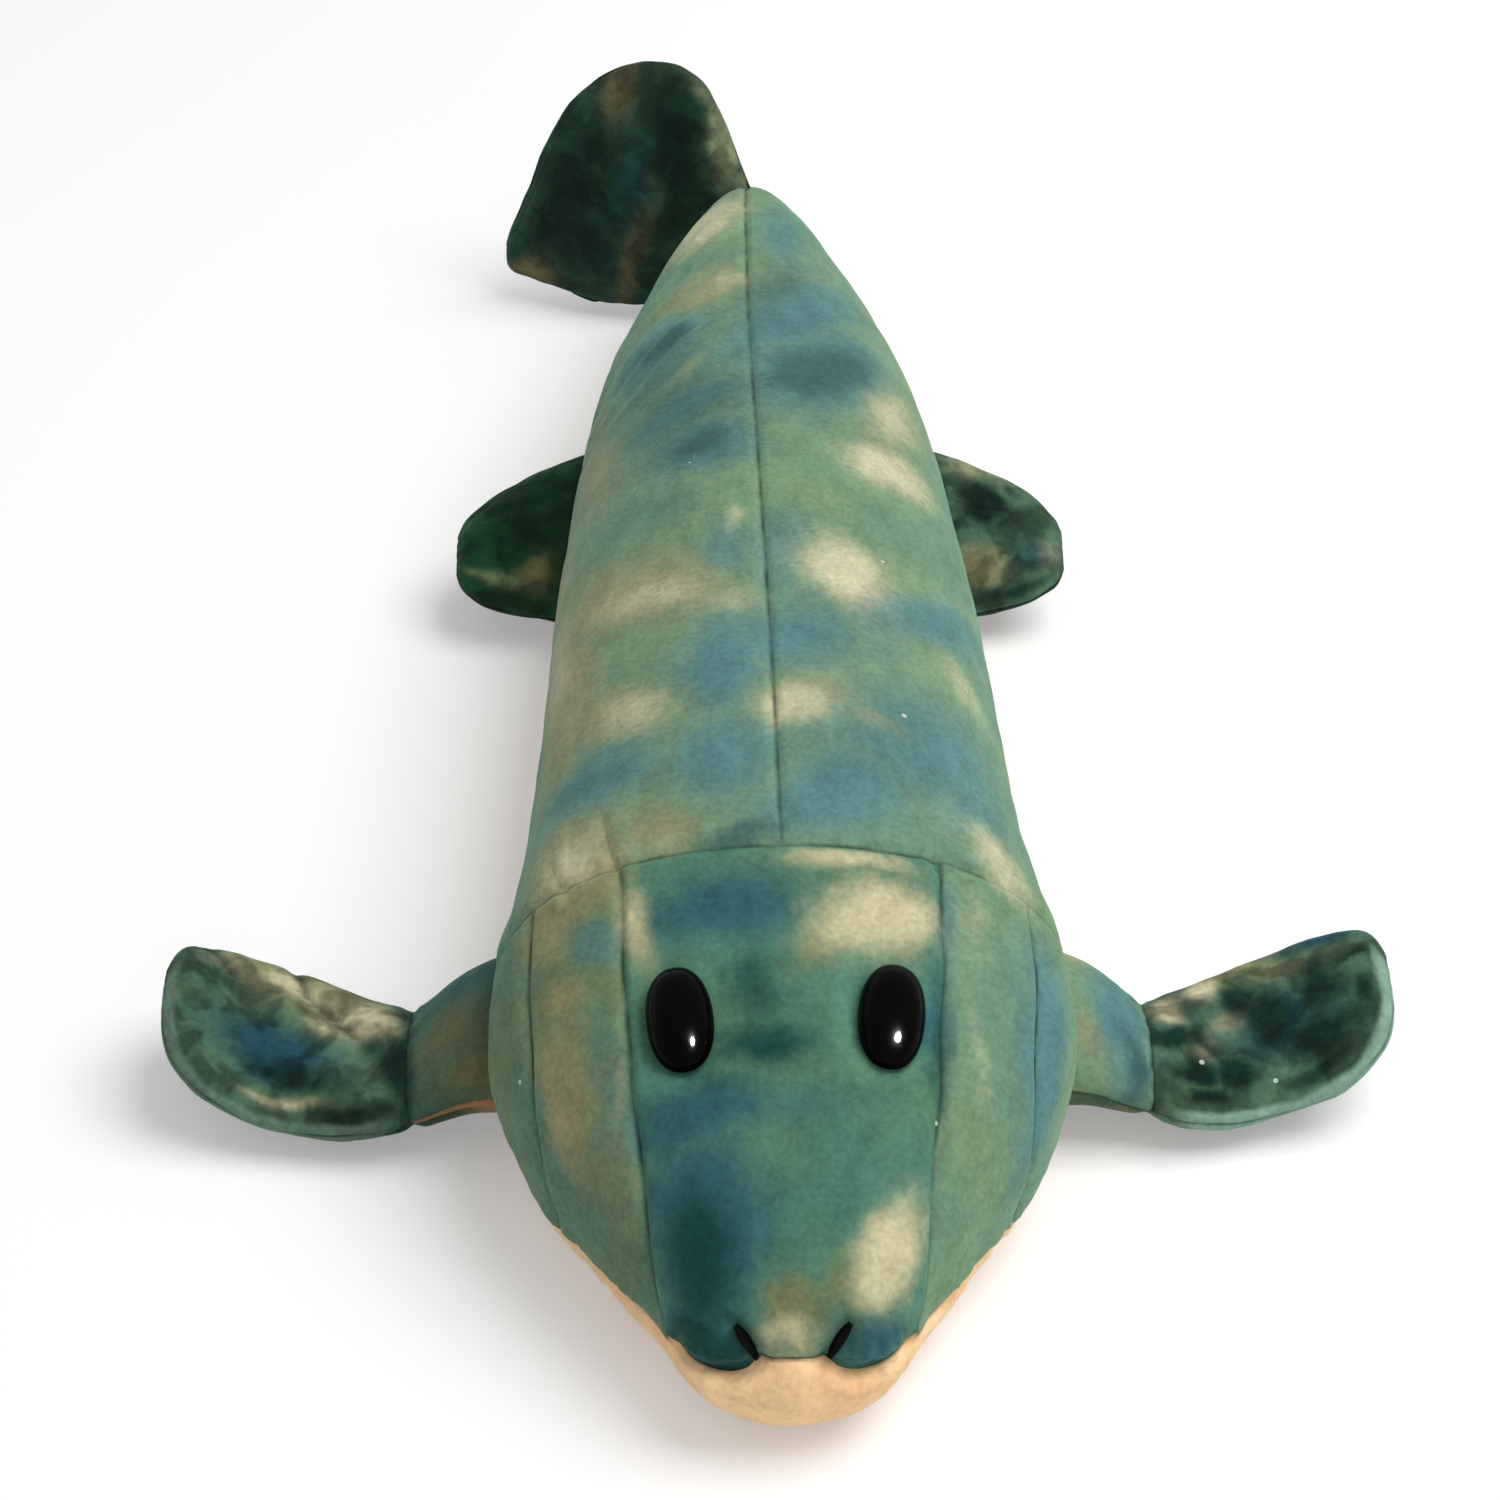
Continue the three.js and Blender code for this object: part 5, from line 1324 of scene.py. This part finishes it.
# %% [markdown]
# ## Finishes
# Plush is a knitted ground with a short pile that stands up and leans in patches. At this distance
# the pile is a fine mottle and a soft light edge, so noise and sheen show it better than hairs. Along
# each seam, painted shade darkens the hollow and a painted highlight brightens the ridge beside it.
# The fins are velvet, whose longer pile is crushed into light and dark patches, painted into the
# colour as sheen and shade, and the front fins have a painted highlight on their rim. The effects
# that several cloths share are node groups, which put out colours and heights only.

# %% Node helpers
def link_value(tree, target, value):
    if isinstance(value, bpy.types.NodeSocket):
        tree.links.new(value, target)
    else:
        target.default_value = value


def fill_inputs(tree, node, **inputs):
    """Give a node's inputs values or links, by name, or by number as i0, i1 and so on."""
    for key, value in inputs.items():
        numbered = key[0] == "i" and key[1:].isdigit()
        link_value(tree, node.inputs[int(key[1:]) if numbered else key.replace("_", " ")], value)


def add_node(tree, kind, settings=None, **inputs):
    """Add a node, set its settings, and give its inputs values or links."""
    node = tree.nodes.new(kind)
    for key, value in (settings or {}).items():
        setattr(node, key, value)
    fill_inputs(tree, node, **inputs)
    return node


def new_group(name, inputs, outputs):
    tree = bpy.data.node_groups.new(name, "ShaderNodeTree")
    for label, kind, value in inputs:
        socket = tree.interface.new_socket(name=label, in_out="INPUT", socket_type="NodeSocket" + kind)
        socket.default_value = value
    for label, kind in outputs:
        tree.interface.new_socket(name=label, in_out="OUTPUT", socket_type="NodeSocket" + kind)
    return tree, tree.nodes.new("NodeGroupInput").outputs, tree.nodes.new("NodeGroupOutput").inputs


def sums(tree, operation, a, b, c=0.0):
    return add_node(tree, "ShaderNodeMath", {"operation": operation}, i0=a, i1=b, i2=c).outputs[0]


def ramp(tree, value, low=0.0, high=1.0, start=0.0, end=1.0, soft=False):
    """The value, with low to high turned into start to end."""
    kind = {"interpolation_type": "SMOOTHSTEP" if soft else "LINEAR"}
    return add_node(tree, "ShaderNodeMapRange", kind, i0=value, i1=low, i2=high, i3=start, i4=end).outputs[0]


def scaled(tree, colour, factor):
    return add_node(tree, "ShaderNodeVectorMath", {"operation": "SCALE"}, i0=colour, Scale=factor).outputs[0]


def blend_colours(tree, amount, a, b):
    return add_node(tree, "ShaderNodeMix", {"data_type": "RGBA"}, i0=amount, i6=a, i7=b).outputs[2]


def kept_number(tree, name):
    """A number that the mesh keeps on its corners."""
    return add_node(tree, "ShaderNodeAttribute", {"attribute_name": name}).outputs["Fac"]


def object_place(tree):
    return add_node(tree, "ShaderNodeTexCoord").outputs["Object"]


def grain(tree, scale, detail=2.0, stretch=(1, 1, 1)):
    """Noise over the object, from 0 to 1, with this many lumps in a metre."""
    place = add_node(tree, "ShaderNodeMapping", Vector=object_place(tree), Scale=stretch).outputs[0]
    return add_node(tree, "ShaderNodeTexNoise", Vector=place, Scale=scale, Detail=detail).outputs["Fac"]


def srgb(*levels):
    """A colour as it is seen, in levels from 0 to 255, for a shader."""
    shares = [c / 255 for c in levels]
    return tuple(c / 12.92 if c <= 0.04045 else ((c + 0.055) / 1.055) ** 2.4 for c in shares) + (1.0,)


# %% Dye group: four dyes over a ground, with fibrous edges
PARTS = ("Ground", "Second Ground", "Cream", "Blue", "Deep", "Tan")
GREY = srgb(128, 128, 128)  # stands in until a material gives its own tone
dye_tree, given, result = new_group(
    "blotchy_dye",
    [(part, "Color", GREY) for part in PARTS] + [("Feather", "Float", 0.3)],
    [("Color", "Color")],
)
amounts = add_node(dye_tree, "ShaderNodeAttribute", {"attribute_name": "dye"})
channels = add_node(dye_tree, "ShaderNodeSeparateColor", Color=amounts.outputs["Color"]).outputs
edge = sums(dye_tree, "MULTIPLY", sums(dye_tree, "SUBTRACT", grain(dye_tree, 420, 3), 0.5), given["Feather"])
drift = ramp(dye_tree, grain(dye_tree, 45, 2), 0.38, 0.62)
colour = blend_colours(dye_tree, drift, given["Ground"], given["Second Ground"])
dyes = {
    "Tan": amounts.outputs["Alpha"], "Blue": channels["Green"],
    "Cream": channels["Red"], "Deep": channels["Blue"],
}
for name, amount in dyes.items():
    feathered = ramp(dye_tree, sums(dye_tree, "ADD", amount, edge), 0.05, 0.85, soft=True)
    colour = blend_colours(dye_tree, feathered, colour, given[name])
link_value(dye_tree, result["Color"], colour)

# %% Pile group: the mottle, lean and lint of short plush, with painted shade in each seam's hollow and a painted highlight on the ridge beside it
SPECKS_IN_A_METRE, SPECK_SIZE, SPECK_SHARE = 75.0, 0.04, 0.4
pile_tree, given, result = new_group(
    "short_pile",
    [
        ("Color", "Color", GREY), ("Mottle", "Float", 0.16), ("Lint", "Float", 0.5),
        ("Seam Shade", "Float", 0.75),
    ],
    [("Color", "Color"), ("Height", "Float"), ("Roughness", "Float")],
)
fine = grain(pile_tree, 900, 3)
tufts = grain(pile_tree, 260, 2, (1, 0.45, 1))
lean = grain(pile_tree, 70, 2)
tone = 0.0
for noise_part, weight in ((fine, 2.2), (tufts, 1.6), (lean, 1.3)):
    tone = sums(pile_tree, "MULTIPLY_ADD", sums(pile_tree, "SUBTRACT", noise_part, 0.5), weight, tone)
shaded = scaled(pile_tree, given["Color"], sums(pile_tree, "MULTIPLY_ADD", tone, given["Mottle"], 1.0))
speck = add_node(pile_tree, "ShaderNodeTexVoronoi", Vector=object_place(pile_tree), Scale=SPECKS_IN_A_METRE)
draw = add_node(pile_tree, "ShaderNodeSeparateColor", Color=speck.outputs["Color"]).outputs["Red"]
small = sums(pile_tree, "LESS_THAN", speck.outputs["Distance"], SPECK_SIZE)
lint = sums(pile_tree, "MULTIPLY", small, sums(pile_tree, "GREATER_THAN", draw, 1 - SPECK_SHARE))
lint = sums(pile_tree, "MULTIPLY", lint, given["Lint"])
# Painted shade darkens the cloth within 0.75 mm of a seam, and a painted highlight brightens the ridge within
# 3.5 mm of it.
beside = kept_number(pile_tree, "seam")
seam_hollow_mask = sums(pile_tree, "SUBTRACT", 1.0, ramp(pile_tree, beside, 0.0, 0.75, soft=True))
uneven = ramp(pile_tree, grain(pile_tree, 130, 1), 0.35, 0.65, 0.25, 1.0)
painted_seam_shade = sums(pile_tree, "MULTIPLY", sums(pile_tree, "MULTIPLY", seam_hollow_mask, given["Seam Shade"]), uneven)
painted_ridge_highlight = ramp(pile_tree, beside, 3.5, 0.9, 0.0, 0.1, soft=True)
painted_seam_light = sums(pile_tree, "SUBTRACT", sums(pile_tree, "MULTIPLY_ADD", painted_ridge_highlight, uneven, 1.0), painted_seam_shade)
shaded = scaled(pile_tree, shaded, painted_seam_light)
link_value(pile_tree, result["Color"], blend_colours(pile_tree, lint, shaded, srgb(225, 235, 225)))
link_value(pile_tree, result["Height"], sums(pile_tree, "MULTIPLY_ADD", tufts, 0.6, fine))
link_value(pile_tree, result["Roughness"], sums(pile_tree, "MULTIPLY_ADD", tone, -0.1, 0.85))

# %% Crush group: velvet whose pile lies this way and that, in light and dark patches of painted sheen and shade
crush_tree, given, result = new_group(
    "crushed_pile",
    [("Color", "Color", GREY), ("Contrast", "Float", 0.6)],
    [("Color", "Color"), ("Height", "Float")],
)
# The patches scale the colour up and down: painted sheen where the pile catches the light, painted shade in
# its crumples.
folds = add_node(
    crush_tree, "ShaderNodeTexNoise", Vector=object_place(crush_tree), Scale=140.0, Detail=2.0, Distortion=0.6
).outputs["Fac"]
flat_pile = ramp(crush_tree, folds, 0.38, 0.62, -1.0, 1.0, soft=True)
gain = sums(crush_tree, "MULTIPLY_ADD", flat_pile, given["Contrast"], 1.0)
link_value(crush_tree, result["Color"], scaled(crush_tree, given["Color"], gain))
link_value(crush_tree, result["Height"], folds)
print("node groups", [group.name for group in bpy.data.node_groups])


# %% Cloth materials
# The colour of the painted highlight on the front fins' rim.
RIM_HIGHLIGHT_TONE = srgb(132, 164, 144)
PILE_HEIGHT = 0.4 * MM
TONES = {  # ground, second ground, cream, blue, deep and tan
    "green_plush": (
        (122, 148, 114), (106, 140, 114), (204, 199, 164), (86, 130, 130), (58, 92, 92), (152, 148, 112),
    ),
    # Partly painted shade of the toy's right side, partly its own print there.
    "olive_plush": (
        (104, 124, 90), (92, 124, 102), (170, 160, 126), (84, 120, 116), (58, 84, 70), (138, 136, 98),
    ),
    # A painted shade copy of olive plush, for the right arm's top and the left arm's underside.
    "deep_olive_plush": (
        (76, 98, 72), (62, 92, 82), (150, 144, 110), (52, 88, 88), (34, 60, 48), (104, 102, 74),
    ),
    # A painted shade copy of peach plush, for the right arm's underside.
    "rust_plush": (
        (180, 134, 94), (132, 110, 78), (196, 160, 120), (60, 80, 64), (50, 64, 46), (120, 92, 62),
    ),
    # Teal's ground is darker than green plush's partly by print and partly as painted shade, since the head
    # lies in less light than the back.
    "teal_plush": (
        (86, 128, 100), (74, 122, 104), (200, 193, 152), (50, 96, 101), (18, 64, 60), (118, 124, 88),
    ),
    "peach_plush": (
        (255, 218, 170), (252, 208, 158), (252, 226, 186), (150, 150, 120), (150, 120, 90), (238, 186, 136),
    ),
    "front_velvet": (
        (76, 102, 78), (62, 88, 70), (176, 168, 138), (28, 64, 74), (12, 36, 28), (122, 122, 90),
    ),
    "green_velvet": (
        (32, 68, 42), (24, 58, 36), (120, 132, 96), (20, 62, 48), (8, 36, 18), (98, 96, 64),
    ),
    "dark_velvet": (
        (36, 64, 48), (26, 54, 42), (136, 146, 114), (24, 56, 58), (10, 30, 22), (92, 86, 60),
    ),
}
TOUCH = {  # what sets a cloth apart from green plush
    "peach_plush": {"mottle": 0.2, "lint": 0.2},
    "front_velvet": {"bump": 0.6, "sheen": 0.3, "crush": 0.42},
    "green_velvet": {"bump": 0.5, "crush": 0.3},
    "dark_velvet": {"bump": 0.5, "crush": 0.3},
}


def new_material(name):
    material = bpy.data.materials.new(name)
    material.use_nodes = True
    return material, material.node_tree, material.node_tree.nodes["Principled BSDF"]


def plush_material(name, tones, mottle=0.3, bump=0.4, sheen=0.25, lint=0.6, crush=0):
    """Dyed cloth with a pile; crush is how strongly its pile lies in light and dark patches, painted into the
    colour as sheen and shade.
    """
    material, tree, shader = new_material(name)
    tones = {part.replace(" ", "_"): srgb(*tone) for part, tone in zip(PARTS, tones)}
    colour = add_node(tree, "ShaderNodeGroup", {"node_tree": dye_tree}, **tones).outputs["Color"]
    if crush:
        crushed = add_node(tree, "ShaderNodeGroup", {"node_tree": crush_tree}, Color=colour, Contrast=crush)
        # The rim number blends in the painted highlight.
        colour = blend_colours(tree, kept_number(tree, "rim"), crushed.outputs["Color"], RIM_HIGHLIGHT_TONE)
    pile = add_node(tree, "ShaderNodeGroup", {"node_tree": pile_tree}, Color=colour, Mottle=mottle, Lint=lint)
    height = pile.outputs["Height"]
    if crush:
        height = sums(tree, "MULTIPLY_ADD", crushed.outputs["Height"], 2.0, height)
    raised = add_node(tree, "ShaderNodeBump", Strength=bump, Distance=PILE_HEIGHT, Height=height)
    fill_inputs(
        tree, shader, Base_Color=pile.outputs["Color"], Roughness=pile.outputs["Roughness"],
        Normal=raised.outputs["Normal"], Specular_IOR_Level=0.15,
        Sheen_Weight=sheen, Sheen_Roughness=0.45, Sheen_Tint=srgb(170, 215, 195),
    )
    return material


finishes = {
    name: plush_material(name + "_pile", tones, **TOUCH.get(name, {})) for name, tones in TONES.items()
}


# %% Fibre, eyes, washers and thread
def plain_material(name, texture, tones, dull, bump=None, dull_texture=None, **own):
    """Two tones mixed by a noise texture, which also sets how dull each spot is, from and to."""
    material, tree, shader = new_material(name)
    mix = grain(tree, *texture)
    fill_inputs(
        tree, shader, Base_Color=blend_colours(tree, mix, *(srgb(*tone) for tone in tones)),
        Roughness=ramp(tree, grain(tree, *dull_texture) if dull_texture else mix, 0, 1, *dull), **own,
    )
    if bump:
        strength, distance = bump
        raised = add_node(tree, "ShaderNodeBump", Strength=strength, Distance=distance, Height=mix)
        fill_inputs(tree, shader, Normal=raised.outputs[0])
    return material


finishes["fibrefill"] = plain_material(
    "fibre_floss", (500, 4, (1, 0.3, 1)), ((214, 212, 206), (250, 249, 246)), (0.7, 0.95), bump=(0.6, 1 * MM)
)
finishes["eye_plastic"] = plain_material(
    "black_gloss", (90, 2), ((1, 1, 1), (4, 3, 4)), (0.04, 0.12), dull_texture=(300, 3),
    IOR=1.2, Specular_IOR_Level=0.15,
)
finishes["washer_plastic"] = plain_material(
    "milky_washer", (200, 2), ((214, 214, 208), (232, 232, 228)), (0.35, 0.5)
)
finishes["black_thread"] = plain_material(
    "satin_thread", (2500, 2), ((1, 2, 2), (5, 7, 7)), (0.35, 0.55), bump=(0.4, 0.1 * MM),
    Specular_IOR_Level=0.06,
)
print("materials", sorted(m.name for m in finishes.values()))


# %% Give every piece its finish
def dress(piece, finish):
    piece.data.materials.clear()
    piece.data.materials.append(finish)


# Most differ in print. The left arm's top is a painted light copy, the right arm's top and both arm
# undersides are painted shade copies, and the right cheek and gill are partly painted shade.
OWN_FINISH = {  # pieces whose cloth is darker or lighter than their slot's usual one
    "olive_plush": ("cheek_cloth_right", "gill_cloth_right"),
    "green_plush": ("gill_cloth_left", "arm_top_left_cloth"),
    "deep_olive_plush": ("arm_top_right_cloth", "arm_under_left_cloth"),
    "rust_plush": ("arm_under_right_cloth",),
    "green_velvet": ("hind_fin_top_right_cloth",),
    "front_velvet": (
        "hind_fin_top_left_cloth", "blade_top_left_cloth", "blade_top_right_cloth",
        "blade_under_left_cloth", "blade_under_right_cloth",
    ),
}
own_finish = {piece: finish for finish, pieces in OWN_FINISH.items() for piece in pieces}
for name, (panel, slot) in cloth_pieces.items():
    dress(panel, finishes[own_finish.get(name, slot)])
for fibre in fibres:
    dress(fibre, finishes["fibrefill"])
for side in SIDES:
    dress(eyes[side], finishes["eye_plastic"])
    dress(nostrils[side], finishes["black_thread"])
    for slot in frame["nodes"][f"eye_washer_{side}"].material_slots:
        slot.material = finishes["washer_plastic"]
print("pieces with a cloth of their own", len(own_finish))

# %% [markdown]
# ## Studio
# A plain pale floor and a white world. The world lights the toy softly, a broad lamp above and to
# the toy's left brightens the back, and a weak one in front opens the shadows of the head. A third,
# small and narrow, lights nothing but the eyes, where it shows as the spark that makes them look
# wet. The floor and the world look white to the camera and in reflections, and the floor keeps the
# toy's shadow.

# %% Floor and world
FLOOR_DROP, FLOOR_GLOW = 0.2 * MM, 0.25
WORLD_LIGHT, WORLD_EXTRA = 0.4, 0.6  # what lights the toy, and what the camera sees on top of that


def seen_directly(tree):
    """1 for what the camera sees, also in a reflection or through glass, and 0 for light."""
    rays = add_node(tree, "ShaderNodeLightPath").outputs
    indirect = sums(tree, "MAXIMUM", rays["Is Glossy Ray"], rays["Is Transmission Ray"])
    return sums(tree, "MAXIMUM", rays["Is Camera Ray"], indirect)


bpy.ops.object.select_all(action="DESELECT")
bpy.ops.mesh.primitive_plane_add(size=6, location=(0, 0.5, -FLOOR_DROP))
floor = bpy.context.active_object
floor.name = "studio_floor"
bpy.ops.object.transform_apply(location=True)
floor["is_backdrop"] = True
floor_material, tree, shader = new_material("pale_floor")
fill_inputs(
    tree, shader, Base_Color=blend_colours(tree, grain(tree, 3, 1), srgb(232, 232, 232), srgb(236, 236, 236)),
    Roughness=1.0, Specular_IOR_Level=0.0, Emission_Color=(1, 1, 1, 1),
    Emission_Strength=sums(tree, "MULTIPLY", seen_directly(tree), FLOOR_GLOW),
)
dress(floor, floor_material)

world = bpy.data.worlds.new("soft_white")
bpy.context.scene.world = world
world.use_nodes = True
tree = world.node_tree
strength = sums(tree, "MULTIPLY_ADD", seen_directly(tree), WORLD_EXTRA, WORLD_LIGHT)
fill_inputs(tree, tree.nodes["Background"], Color=(1, 1, 1, 1), Strength=strength)
bpy.context.scene.view_settings.view_transform = "Standard"
print("floor and world", floor.name, world.name)


# %% Lamps
def add_lamp(name, place, size, power, aim=(0, -0.05, 0.03)):
    bpy.ops.object.select_all(action="DESELECT")
    bpy.ops.object.light_add(type="AREA", location=place)
    lamp = bpy.context.active_object
    lamp.name = lamp.data.name = name
    lamp.rotation_euler = (Vector(aim) - Vector(place)).to_track_quat("-Z", "Y").to_euler()
    lamp.data.shape, lamp.data.size, lamp.data.energy = "SQUARE", size, power
    return lamp


top_lamp = add_lamp("top_lamp", (0.6, -0.05, 1.15), 0.9, 12.2)
front_lamp = add_lamp("front_lamp", (0.3, -1.3, 0.4), 0.9, 1.9)
top_lamp.visible_glossy = front_lamp.visible_glossy = False  # they light the cloth, and show in no eye
eyes_only = bpy.data.collections.new("eyes_only")
for eye in eyes.values():
    eyes_only.objects.link(eye)
glint_lamp = add_lamp("glint_lamp", (0.274, -0.528, 0.473), 0.16, 20, aim=(0.018, -0.185, 0.0515))
glint_lamp.data.spread = math.radians(14)
glint_lamp.visible_diffuse = False
glint_lamp.light_linking.receiver_collection = eyes_only

# %% [markdown]
# ## Last look
# The triangles of every shown piece are counted. Soft pieces may stand a little proud
# of the plain model, and no more than that.

# %% Count the triangles
meshes = [piece.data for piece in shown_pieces() if piece.type == "MESH"]
print("triangles", sum(len(face.vertices) - 2 for mesh in meshes for face in mesh.polygons))
